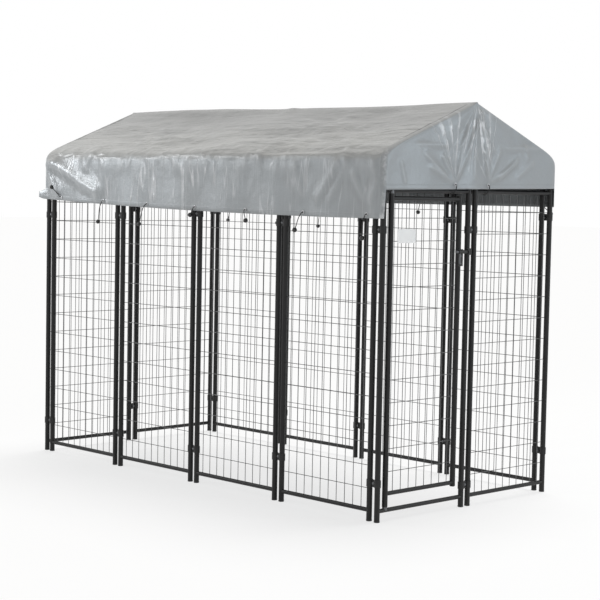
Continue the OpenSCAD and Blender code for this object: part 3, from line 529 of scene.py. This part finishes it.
# Nowhere does the sheet sink into the eave poles and their elbows
TUBE_CLEAR = 0.0168
room = np.hypot(np.abs(y) - WALL_Y, z - EAVE_Z) - TUBE_CLEAR
displace = np.where(room < 0.05, np.maximum(displace, -np.maximum(room, 0)), displace)
print("displacement", np.round([displace.min(), displace.max()], 4).tolist())

# %% The canopy's surface
way = unit(np.gradient(profile, axis=0))
way[0] = (1, 0)
way = np.concatenate([way, np.repeat([[0.0, -1.0]], HANG_ROWS, 0)])[:, None]
side_n = np.stack([0 * x, -way[..., 1] * np.sign(py)[None, :], way[..., 0] + 0 * x], -1)
gable_n = np.stack([np.sign(px)[None, :] + 0 * x, 0 * x, 0 * x], -1)
normal = np.where(is_side[None, :, None], side_n, gable_n)
points = base + displace[..., None] * normal

# A loose flap at the rear corner on the left stands out past the post
flap = is_left[None, :] * step(-1.185, -1.228, x) * step(0.158, 0.176, below)
points += flap[..., None] * np.array([-0.046, -0.018, 0.0])
points[..., 2] += 0.026 * flap * step(0.18, 0.24, below) * step(-1.195, -1.24, x)

# The UV map is in metres: along and down the long sides, across and down the gables, which lie
# apart from the sides on the map
GABLE_U, GABLE_V = 3.0, 2.0
faces = grid_faces(rows, cols, wrap=True)
side_uv = np.stack([x, run_down], -1).reshape(-1, 2)[faces]
gable_uv = np.stack([y + GABLE_U, GABLE_V - z], -1).reshape(-1, 2)[faces]
on_side = (is_side[faces % cols]).all(1)
canopy = make_piece("canopy_sheet", points, faces.tolist(), RUN,
                    np.where(on_side[:, None, None], side_uv, gable_uv))

# For the finish: how far a point stands out of its neighbourhood, how high it is above the hem,
# and where the corners are
PROUD_FULL = 0.0022
around = (np.roll(displace, 2, 1) + np.roll(displace, -2, 1) + np.roll(displace, 4, 1)
          + np.roll(displace, -4, 1)) / 4
around[3:-3] = 0.5 * around[3:-3] + 0.25 * (displace[:-6] + displace[6:])
proud = np.clip((displace - around) / PROUD_FULL, -1, 1)
proud[:4] = 0
corner = np.sin(2 * facing)[None, :] ** 2 * step(EAVE_AT - 0.06, EAVE_AT, run_down)
for name, values in (("proud", proud), ("above_hem", z - hem[None, :]), ("corner", corner)):
    layer = canopy.data.attributes.new(name, "FLOAT", "POINT")
    layer.data.foreach_set("value", values.astype(np.float32).ravel())

# The columns meet at the ridge, so its points are joined; then the sheet gets its thickness
SHEET_THICK, SAME_POINT = 0.0011, 0.00005
shell = bmesh.new()
shell.from_mesh(canopy.data)
shell.verts.ensure_lookup_table()
bmesh.ops.remove_doubles(shell, verts=shell.verts[:cols], dist=SAME_POINT)
bmesh.ops.recalc_face_normals(shell, faces=shell.faces)
shell.to_mesh(canopy.data)
shell.free()
thickness = canopy.modifiers.new("thickness", "SOLIDIFY")
thickness.thickness = SHEET_THICK
thickness.offset = -1
# The inner side takes the second finish, the darker copy that paints the shade under the canopy
thickness.material_offset = 1
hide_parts("canopy")

# %% [markdown]
# ## The plate on the door
# The real door carries a printed label. Here it is a bare white plate of the same size, a thin
# moulding with rounded corners, that lies against the door's upright wires.


# %% The plate
def plate(name, centre, wide, high, thick, corner, body):
    """A rounded rectangle carried through five rings: back, edge, and a slightly raised rim."""
    per = 8
    turn = np.radians(np.concatenate([np.linspace(a, a + 90, per) for a in (0, 90, 180, 270)]))
    sy = np.repeat([1, -1, -1, 1], per)
    sz = np.repeat([1, 1, -1, -1], per)
    inset = np.array([0, 0, 0.0005, 0.0024, 0.0030])
    front = np.array([0, thick - 0.0004, thick, thick, thick - 0.0004])
    yy = sy * (wide / 2 - corner) + (corner - inset[:, None]) * np.cos(turn)
    zz = sz * (high / 2 - corner) + (corner - inset[:, None]) * np.sin(turn)
    rings = np.stack([front[:, None] + 0 * yy, yy, zz], -1) + np.asarray(centre)
    count = 4 * per
    walls = grid_faces(len(inset), count, wrap=True)
    ends = [list(range(count))[::-1], list(range((len(inset) - 1) * count, len(inset) * count))]
    return make_piece(name, rings, walls.tolist() + ends, body, smooth=False)


PLATE_AT = (END_X + 0.00335, -0.433, 1.237)
PLATE_WIDE, PLATE_HIGH, PLATE_THICK, PLATE_CORNER = 0.118, 0.061, 0.0016, 0.006
label = plate("door_plate", PLATE_AT, PLATE_WIDE, PLATE_HIGH, PLATE_THICK, PLATE_CORNER, DOOR)
print("plate on", DOOR)

# %% [markdown]
# ## Finishes
# A shader is easier to read as arithmetic than as boxes and wires. The small class below stands
# for one socket, so that `1 - mask * 0.5` adds the Math nodes it needs. One method adds any other
# node. Each finish is then a few lines: where it is darker, where it is rougher, where it is dusty.


# %% Shader arithmetic
class Value:
    """One output socket; + - * / with numbers or other sockets add Math nodes."""

    def __init__(self, finish, socket):
        self.finish = finish
        self.socket = socket

    def __add__(self, other):
        return self.finish.math("ADD", self, other)

    def __radd__(self, other):
        return self.finish.math("ADD", other, self)

    def __sub__(self, other):
        return self.finish.math("SUBTRACT", self, other)

    def __rsub__(self, other):
        return self.finish.math("SUBTRACT", other, self)

    def __mul__(self, other):
        return self.finish.math("MULTIPLY", self, other)

    def __rmul__(self, other):
        return self.finish.math("MULTIPLY", other, self)

    def __truediv__(self, other):
        return self.finish.math("DIVIDE", self, other)


class Finish:
    """A material whose Principled shader is fed by expressions."""

    def __init__(self, name):
        self.material = bpy.data.materials.new(name)
        self.material.use_nodes = True
        self.nodes = self.material.node_tree.nodes
        self.links = self.material.node_tree.links
        self.shader = self.nodes["Principled BSDF"]

    def put(self, socket, value):
        """A socket gets a link from a Value, or a plain value as its own."""
        if isinstance(value, Value):
            self.links.new(value.socket, socket)
        elif value is not None:
            socket.default_value = value

    def add(self, kind, settings=None, inputs=None, out=0):
        """A node of a kind: its settings first, then what its sockets hold, then one output."""
        node = self.nodes.new(kind)
        for key, value in (settings or {}).items():
            setattr(node, key, value)
        for key, value in (inputs or {}).items():
            self.put(node.inputs[key], value)
        return Value(self, node.outputs[out])

    def math(self, operation, first, second=None):
        """A Math node, of one number or two."""
        return self.add("ShaderNodeMath", {"operation": operation}, {0: first, 1: second})

    def part(self, vector, axis):
        """One coordinate of a vector."""
        return self.add("ShaderNodeSeparateXYZ", None, {0: vector}, axis)

    def place(self, kind="Object"):
        """Coordinates in metres, of the model or of the UV map."""
        return self.add("ShaderNodeTexCoord", None, None, kind)

    def attribute(self, name):
        """A number that the mesh holds at each point."""
        return self.add("ShaderNodeAttribute", {"attribute_name": name}, None, "Fac")

    def noise(self, scale, detail, rough=0.5, at=None):
        """Smooth noise between 0 and 1; detail is the number of finer layers."""
        return self.add("ShaderNodeTexNoise", None, {"Vector": at or self.place(), "Scale": scale,
                                                     "Detail": detail, "Roughness": rough}, "Fac")

    def span(self, value, low, high, to_low=0.0, to_high=1.0):
        """Carries low..high smoothly to to_low..to_high."""
        return self.add("ShaderNodeMapRange", {"interpolation_type": "SMOOTHSTEP"},
                        {"Value": value, "From Min": low, "From Max": high, "To Min": to_low,
                         "To Max": to_high})

    def mix(self, share, first, second):
        """A colour between two colours."""
        return self.add("ShaderNodeMix", {"data_type": "RGBA"}, {0: share, 6: first, 7: second}, 2)

    def bump(self, height, depth, strength):
        """A normal from a height; depth is the height's scale in metres."""
        return self.add("ShaderNodeBump", None,
                        {"Height": height, "Distance": depth, "Strength": strength}, "Normal")

    def done(self, **sockets):
        """Feeds the shader; a name's underscores are the blanks of a socket's name."""
        for key, value in sockets.items():
            self.put(self.shader.inputs[key.replace("_", " ")], value)
        return self.material


PLAIN = (1.0, 1.0, 1.0)


def grey(level, tint=PLAIN):
    """A colour of one lightness, tinted."""
    return (level * tint[0], level * tint[1], level * tint[2], 1.0)


# %% [markdown]
# ### Black powder coat, black plastic, zinc
# The posts, rails and wires are powder coated: black with a satin gloss, a very fine orange-peel
# skin and paler dust where rain splashes it, near the ground. The wires are thinner and a little
# glossier, and their black is set paler as painted light, for the light that thin wires catch. Caps
# and foot plugs are moulded plastic, duller and with a fine grain. Bolts and pins are zinc plated.


# %% Metals and plastics
def powder_coat(name, level, gloss, peel, shine):
    """Black paint: slow patches of lightness, orange peel as bump, dust below knee height."""
    f = Finish(name)
    patch = f.noise(7.0, 4.0)
    speck = f.noise(260.0, 2.0)
    height = f.part(f.place(), "Z")
    dust = f.span(height, 0.02, 0.34, 1.0, 0.0) * f.span(patch + speck * 0.35, 0.45, 0.95) * 0.2
    worn = f.span(f.noise(48.0, 6.0, 0.7), 0.66, 0.80) * 0.25
    black = f.mix(patch, grey(level * 0.8, (1, 1, 1.04)), grey(level * 1.25, (1, 1, 1.02)))
    tone = f.mix(worn, black, grey(level * 2.2, (1.0, 0.99, 0.97)))
    tone = f.mix(dust, tone, grey(0.085, (1.0, 0.95, 0.88)))
    rough = gloss + (patch - 0.5) * 0.16 + dust * 0.3 + speck * 0.05
    skin = f.bump(f.noise(peel, 2.0) + speck * 0.4, 0.0004, 0.35)
    return f.done(Base_Color=tone, Roughness=rough, Normal=skin, Specular_IOR_Level=shine)


def moulded_plastic(name, level):
    """Black plastic: a fine spark-eroded grain in colour, roughness and bump."""
    f = Finish(name)
    grain = f.noise(900.0, 2.0)
    patch = f.noise(22.0, 4.0)
    tone = f.mix(patch, grey(level * 0.8), grey(level * 1.5, (1.0, 0.99, 0.97)))
    return f.done(Base_Color=tone, Roughness=0.42 + grain * 0.16 + patch * 0.1,
                  Normal=f.bump(grain, 0.0003, 0.3))


def plated_steel(name, colour, gloss, spangle):
    """Plated metal: cells of slightly different lightness, fine scratches, dull patches."""
    f = Finish(name)
    cells = f.add("ShaderNodeTexVoronoi", None, {"Vector": f.place(), "Scale": spangle}, "Color")
    cell = f.add("ShaderNodeSeparateColor", None, {0: cells}, "Red")
    dull = f.noise(60.0, 5.0, 0.6)
    dark = tuple(c * 0.72 for c in colour[:3]) + (1.0,)
    tone = f.mix(cell * 0.5 + dull * 0.5, dark, colour)
    return f.done(Base_Color=tone, Metallic=1.0, Roughness=gloss + dull * 0.22 + cell * 0.06,
                  Normal=f.bump(f.noise(500.0, 3.0), 0.0002, 0.25))


finishes = {
    "frame_coat": powder_coat("black_powder_coat", 0.0105, 0.38, 620.0, 0.3),
    # The wires' black is set paler than the frame's: painted light, for the light that thin wires
    # catch
    "wire_coat": powder_coat("black_wire_coat", 0.07, 0.24, 900.0, 0.75),
    "bracket_coat": powder_coat("black_bracket_coat", 0.0115, 0.34, 520.0, 0.35),
    "black_plastic": moulded_plastic("black_moulded_plastic", 0.012),
    "zinc": plated_steel("zinc_plate", (0.16, 0.163, 0.17, 1.0), 0.3, 420.0),
    "eyelet_metal": plated_steel("eyelet_aluminium", (0.72, 0.72, 0.73, 1.0), 0.24, 900.0),
}
print("metal and plastic finishes", len(finishes))

# %% [markdown]
# ### The silver sheet
# The sheet is woven from flat plastic tapes about 2.5 mm wide and coated silver on both sides. From
# a distance it is grey with a soft sheen; along its creases the coating is polished and catches the
# light. The weave follows the sheet, so it reads the UV map, which is in metres. Creases are read
# off the shape itself: the geometry's pointiness is not exported, so a vertex attribute holds how
# far each point stands out of its neighbourhood.


# %% The sheet's finish
TAPE_PAIR = 0.005
HEM_FOLD_UP, STITCH_UP = 0.022, 0.019
COOL, WARM, BRIGHT = (0.935, 1.0, 1.045), (1.0, 1.0, 0.97), (0.99, 1.0, 1.02)


def silver_sheet(name, level):
    """Tapes over and under as a bump, slow patches, painted light and shade, whitened creases with
    painted highlight, a seam, a hem.
    """
    f = Finish(name)
    uv = f.place("UV")
    along = f.part(uv, "X")
    down = f.part(uv, "Y")

    def absolute(value):
        return f.math("ABSOLUTE", value)

    def point(first, second, third):
        return f.add("ShaderNodeCombineXYZ", None, {0: first, 1: second, 2: third})

    def lines(place, thin, detail):
        """Thin lines where a noise passes its middle."""
        return f.span(absolute(f.noise(1.0, detail, 0.5, place) - 0.5), 0.0, thin, 1.0, 0.0)

    def fan(from_y, from_z, reach):
        """Lines that run out from a point of the gable, by the angle round it."""
        dy = along - (GABLE_U + from_y)
        dz = (GABLE_V - from_z) - down
        angle = f.math("ARCTAN2", dz, dy)
        away = f.add("ShaderNodeVectorMath", {"operation": "LENGTH"}, {0: point(dy, dz, 0.0)}, "Value")
        near = f.span(away, 0.012, 0.05) * f.span(away, reach * 0.35, reach, 1.0, 0.0)
        steep = f.span(absolute(dz) / away, 0.72, 0.95)
        crooked = angle * 5.0 + (f.noise(30.0, 3.0) - 0.5) * 0.55
        broken = f.span(f.noise(21.0, 2.0), 0.40, 0.58, 0.25, 1.0)
        return lines(point(crooked, away * 0.7, from_y * 40.0), 0.036, 1.0) * near * steep * broken

    # Where on the sheet: below the eave, on a gable, on a slope, by the ridge, by the rear corner
    hangs = f.span(down, EAVE_AT, EAVE_AT + 0.05)
    on_gable = f.span(along, GABLE_U - 1.0, GABLE_U - 0.8)
    low_down = f.span(down, 0.10, 0.40, 0.35, 1.0)
    on_slope = (1 - hangs) * (1 - on_gable) * low_down
    # Masks for painted light on the lower slope and painted shade towards the ridge
    by_eave = f.span(down, 0.25, EAVE_AT - 0.06) * on_slope
    by_ridge = f.span(down, 0.20, 0.44, 1.0, 0.0) * (1 - on_gable)
    at_rear = f.span(along, -1.2, -0.7, 1.0, 0.0)

    # Crease lines, glossier and whitened, with painted highlight: upright streaks on the sides, fans
    # on the gables
    where = f.span(f.noise(5.5, 2.0), 0.44, 0.60)
    streaks = lines(point(along * 13.0, down * 1.3, 3.0), 0.02, 2.0) * hangs * where
    streaks = streaks + lines(point(along * 34.0, down * 2.6, 9.0), 0.03, 1.0) * hangs * 0.16
    streaks = streaks * f.span(along, 0.3, 0.8, 1.0, 0.4)
    fans = fan(-0.139, 1.470, 0.40) + fan(0.090, 1.472, 0.40) + fan(0.0, 1.84, 0.36)
    creases = streaks + fans * on_gable

    # Level lines, ledges and wavelets on the slopes, crumples and crinkles all over
    level_lines = lines(point(along * 2.0, down * 8.0, 7.0), 0.016, 3.0) * on_slope
    ledges = f.span(f.noise(1.0, 3.0, 0.55, point(along * 1.7, down * 7.5, 5.0)), 0.47, 0.57)
    leaning = point(along * 3.1 + down * 2.0, down * 9.0, 11.0)
    ledges = ledges + f.span(f.noise(1.0, 2.0, 0.5, leaning), 0.48, 0.57) * 0.7
    flowing = f.noise(1.0, 3.0, 0.6, point(along * 4.5, down * 15.0, 2.0))
    wavelets = (1 - absolute(flowing - 0.5) * 6.0) * on_slope
    crinkle = f.noise(26.0, 4.0, 0.6)
    crumple = 1 - absolute(f.noise(9.0, 3.0, 0.55) - 0.5) * 5.0
    crumple = crumple * (1 - hangs * (0.94 - at_rear * 0.2)) * (1 - on_gable * 0.75) * low_down

    # The weave, the stitched hem and the seams along the end bows
    tape = 2 * math.pi / TAPE_PAIR
    weave = f.math("SINE", along * tape) * f.math("SINE", down * tape)
    above_hem = f.attribute("above_hem")
    hem_fold = f.span(above_hem, HEM_FOLD_UP - 0.001, HEM_FOLD_UP + 0.001, 1.0, 0.0)
    stitch_on = f.span(f.math("SINE", along * (tape * 0.8)), -0.2, 0.1)
    stitches = f.span(absolute(above_hem - STITCH_UP), 0.0004, 0.0011, 1.0, 0.0) * stitch_on
    # The seam is a groove in the bump and a dark line in the tone, which is painted shade
    seam = f.span(absolute(absolute(along) - (CANOPY_X - SEAM_IN)), 0.0015, 0.0065, 1.0, 0.0)
    seam = seam * f.span(down, 0.02, 0.06) * f.span(down, 0.40, 0.58, 1.0, 0.0) * (1 - on_gable)

    # Tone: warm where the sheet faces up and cool where it hangs, as painted light; then random
    # patches, painted light and shade, and the creases
    patch = f.noise(3.2, 5.0, 0.6)
    proud = f.attribute("proud")
    # Painted highlight at the corners of the eave, over the sheet's stress whitening there
    corner_glint_and_whitening = f.attribute("corner") * f.span(f.noise(24.0, 3.0, 0.6), 0.40, 0.62)
    normal = f.add("ShaderNodeNewGeometry", None, None, "Normal")
    # Painted light: a warm tint on faces that look up, a cool one on upright faces
    tone = f.mix(f.span(f.part(normal, "Z"), 0.1, 0.8), grey(level, COOL), grey(level * 0.94, WARM))
    for share, lightness, tint in (
            # Painted shade: the gables darker and cooler
            (on_gable * 0.3, 0.72, COOL),
            # Painted light on the lower slope near the eave, painted shade towards the ridge
            (by_eave * 0.7, 1.16, (1.0, 1.0, 0.965)),
            (by_ridge * 0.7, 0.8, (1.0, 1.0, 0.985)),
            (f.span(patch, 0.3, 0.7) * 0.3, 0.84, (0.98, 1.0, 1.01)),
            # Painted shade in the hollows of the folds, painted highlight on their crests
            (f.span(proud, -1.1, -0.1, 1.0, 0.0) * 0.2, 0.6, PLAIN),
            (f.span(proud, 0.1, 1.2) * 0.10, 1.8, PLAIN),
            # Painted shade along thin level lines on the slopes
            (level_lines * 0.24, 0.68, PLAIN),
            # The crease lines whitened where the coating is stretched, and brightened further as
            # painted highlight
            (creases * (0.45 + on_gable * 0.5), 2.3, BRIGHT),
            # The corners whitened, partly stress whitening and partly painted highlight
            (corner_glint_and_whitening * 0.5, 2.2, BRIGHT),
            # Painted shade in the seam's fold; the stitches are darker thread
            (seam * 0.9 + stitches * 0.3, 0.14, PLAIN)):
        tone = f.mix(share, tone, grey(level * lightness, tint))

    rough = (0.35 + (patch - 0.5) * 0.2 - creases * 0.1 - at_rear * hangs * 0.06
             + weave * 0.03 + (crinkle - 0.5) * 0.1)
    relief = (weave * 0.05 + crinkle * low_down * 0.8 + crumple * 0.9 + wavelets
              + level_lines * 0.6 + ledges * on_slope * 2.4 + creases * (0.6 + on_gable)
              + hem_fold * 0.3 - seam * 0.6 - stitches * 0.2)
    return f.done(Base_Color=tone, Roughness=rough, Metallic=0.15, Normal=f.bump(relief, 0.006, 0.4))


LAY_LENGTH, STRANDS = 0.0042, 4


def braided_cord():
    """Two sets of strands that wind round the cord, one each way: a bump, and a tone darkened in the
    grooves as painted shade.
    """
    f = Finish("braided_cord")
    uv = f.place("UV")
    lay = f.part(uv, "X") * (2 * math.pi / LAY_LENGTH)
    turns = f.part(uv, "Y") * (2 * math.pi * STRANDS)
    strand = f.math("MAXIMUM", f.math("SINE", lay + turns), f.math("SINE", lay - turns))
    high = f.span(strand, -0.4, 1.0)
    # Painted shade: the grooves between the strands darker, the strand tops lighter
    tone = f.mix(high, grey(0.006), grey(0.026, (1.0, 0.99, 0.97)))
    return f.done(Base_Color=tone, Roughness=0.62 + high * 0.16, Normal=f.bump(high, 0.0006, 0.8))


def ball_plastic():
    """Glossy black plastic with faint flow marks and rubbed spots."""
    f = Finish("ball_gloss_plastic")
    flow = f.noise(120.0, 4.0)
    rubbed = f.span(f.noise(420.0, 4.0), 0.58, 0.72)
    tone = f.mix(flow, grey(0.008), grey(0.02))
    tone = f.mix(rubbed * 0.3, tone, grey(0.06))
    return f.done(Base_Color=tone, Roughness=0.2 + flow * 0.14 + rubbed * 0.2,
                  Normal=f.bump(flow, 0.0003, 0.2))


def white_plate():
    """White enamel: nearly even, a trace of grey in patches, a slight skin."""
    f = Finish("white_plate")
    patch = f.noise(40.0, 4.0)
    tone = f.mix(patch, grey(0.9, (1.0, 1.0, 0.99)), grey(0.95))
    return f.done(Base_Color=tone, Roughness=0.3 + patch * 0.12,
                  Normal=f.bump(f.noise(700.0, 2.0), 0.0002, 0.2))


finishes["sheet"] = silver_sheet("silver_sheet", 0.36)
# The inside of the sheet is a darker copy of the silver: painted shade under the canopy
shaded_sheet_inside = silver_sheet("silver_sheet_inside", 0.17)
finishes["cord"] = braided_cord()
finishes["ball_plastic"] = ball_plastic()
plate_finish = white_plate()


def wear(piece, finish):
    """The piece has one finish all over."""
    piece.data.materials.clear()
    piece.data.materials.append(finish)


# %% Every node gets its slot's finish
dressed = 0
for part in frame["record"]["subparts"]:
    if part["node"] in nodes:
        wear(nodes[part["node"]], finishes[part["material_slot"]])
        dressed += 1
for cord, ball, _ in ties:
    wear(cord, finishes["cord"])
    wear(ball, finishes["ball_plastic"])
wear(canopy, finishes["sheet"])
canopy.data.materials.append(shaded_sheet_inside)
wear(label, plate_finish)
print("dressed", dressed, "nodes and", 2 * len(ties) + 2, "pieces")

# %% [markdown]
# ## Floor, background and light
# The picture was taken on white. A floor that is lit to white would bleach the object, so the
# floor and the world show white to the camera and to reflections, and give plain grey light to
# everything else. Part of the floor stays a lit surface: that keeps the soft shadow. A broad sun
# stands for a lit ceiling, a small lamp polishes the sheet's rear corner, and a cool one on the far
# side lights the door end.


# %% Stage
FLOOR_FAR, FLOOR_DROP, FLOOR_WHITE = 60.0, 0.0005, 0.72


def white_stage():
    """Floor: lit pale grey mixed with plain white, the white only for the camera and reflections."""
    floor_mesh = bpy.data.meshes.new("floor")
    corners = [(FLOOR_FAR * a, FLOOR_FAR * b, 0) for a, b in ((-1, -1), (1, -1), (1, 1), (-1, 1))]
    floor_mesh.from_pydata(corners, [], [(0, 1, 2, 3)])
    floor = bpy.data.objects.new("floor", floor_mesh)
    floor.location.z = -FLOOR_DROP
    bpy.context.scene.collection.objects.link(floor)
    f = Finish("pale_floor")
    seen = f.add("ShaderNodeLightPath", None, None, "Is Camera Ray")
    glossy = f.add("ShaderNodeLightPath", None, None, "Is Glossy Ray")
    lit = f.done(Base_Color=grey(0.9), Roughness=0.9)
    white = f.add("ShaderNodeEmission", None, {"Color": grey(1.0), "Strength": 1.0})
    both = f.add("ShaderNodeMixShader", None, {0: (seen + glossy) * FLOOR_WHITE,
                                               1: Value(f, f.shader.outputs[0]), 2: white})
    f.put(f.nodes["Material Output"].inputs["Surface"], both)
    floor_mesh.materials.append(lit)


def soft_world(level):
    """World: plain light of one level, white to the camera and to reflections."""
    world = bpy.data.worlds.new("world")
    bpy.context.scene.world = world
    world.use_nodes = True
    tree = world.node_tree
    back = tree.nodes["Background"]
    path = tree.nodes.new("ShaderNodeLightPath")
    seen = tree.nodes.new("ShaderNodeMath")
    seen.operation = "MAXIMUM"
    tree.links.new(path.outputs["Is Camera Ray"], seen.inputs[0])
    tree.links.new(path.outputs["Is Transmission Ray"], seen.inputs[1])
    shown = tree.nodes.new("ShaderNodeMath")
    shown.operation = "MAXIMUM"
    tree.links.new(seen.outputs[0], shown.inputs[0])
    tree.links.new(path.outputs["Is Glossy Ray"], shown.inputs[1])
    strength = tree.nodes.new("ShaderNodeMapRange")
    tree.links.new(shown.outputs[0], strength.inputs["Value"])
    strength.inputs["To Min"].default_value = level
    strength.inputs["To Max"].default_value = 1.0
    tree.links.new(strength.outputs[0], back.inputs["Strength"])
    back.inputs["Color"].default_value = grey(1.0)


def soft_lamp(name, place, aim, size, power, colour, spread=180):
    """A square lamp at a place, turned to its aim, its beam as wide as spread in degrees."""
    data = bpy.data.lights.new(name, "AREA")
    data.shape = "SQUARE"
    data.size = size
    data.energy = power
    data.color = colour
    data.spread = math.radians(spread)
    lamp = bpy.data.objects.new(name, data)
    back = unit(np.asarray(place, float) - np.asarray(aim, float))
    right = unit(np.cross([0.0, 0.02, 1.0], back))
    pose = np.eye(4)
    pose[:3, :3] = np.array([right, np.cross(back, right), back]).T
    pose[:3, 3] = place
    lamp.matrix_world = Matrix(pose.tolist())
    bpy.context.scene.collection.objects.link(lamp)


white_stage()
soft_world(0.33)
sun_data = bpy.data.lights.new("sky", "SUN")
sun_data.energy = 2.35
sun_data.angle = math.radians(34)
sun_data.color = (1.0, 0.99, 0.965)
sun = bpy.data.objects.new("sky", sun_data)
sun.rotation_euler = (math.radians(-20), math.radians(-6), 0)
sun.visible_glossy = False
bpy.context.scene.collection.objects.link(sun)
soft_lamp("key", (-3.2, -2.9, 2.5), (-1.2, -0.6, 1.45), 1.0, 6.0, (0.95, 0.975, 1.0), 60)
soft_lamp("door_side", (6.2, 3.0, 2.4), (1.2, 0, 1.4), 1.5, 60.0, (0.78, 0.9, 1.0))
bpy.context.scene.view_settings.view_transform = "Standard"
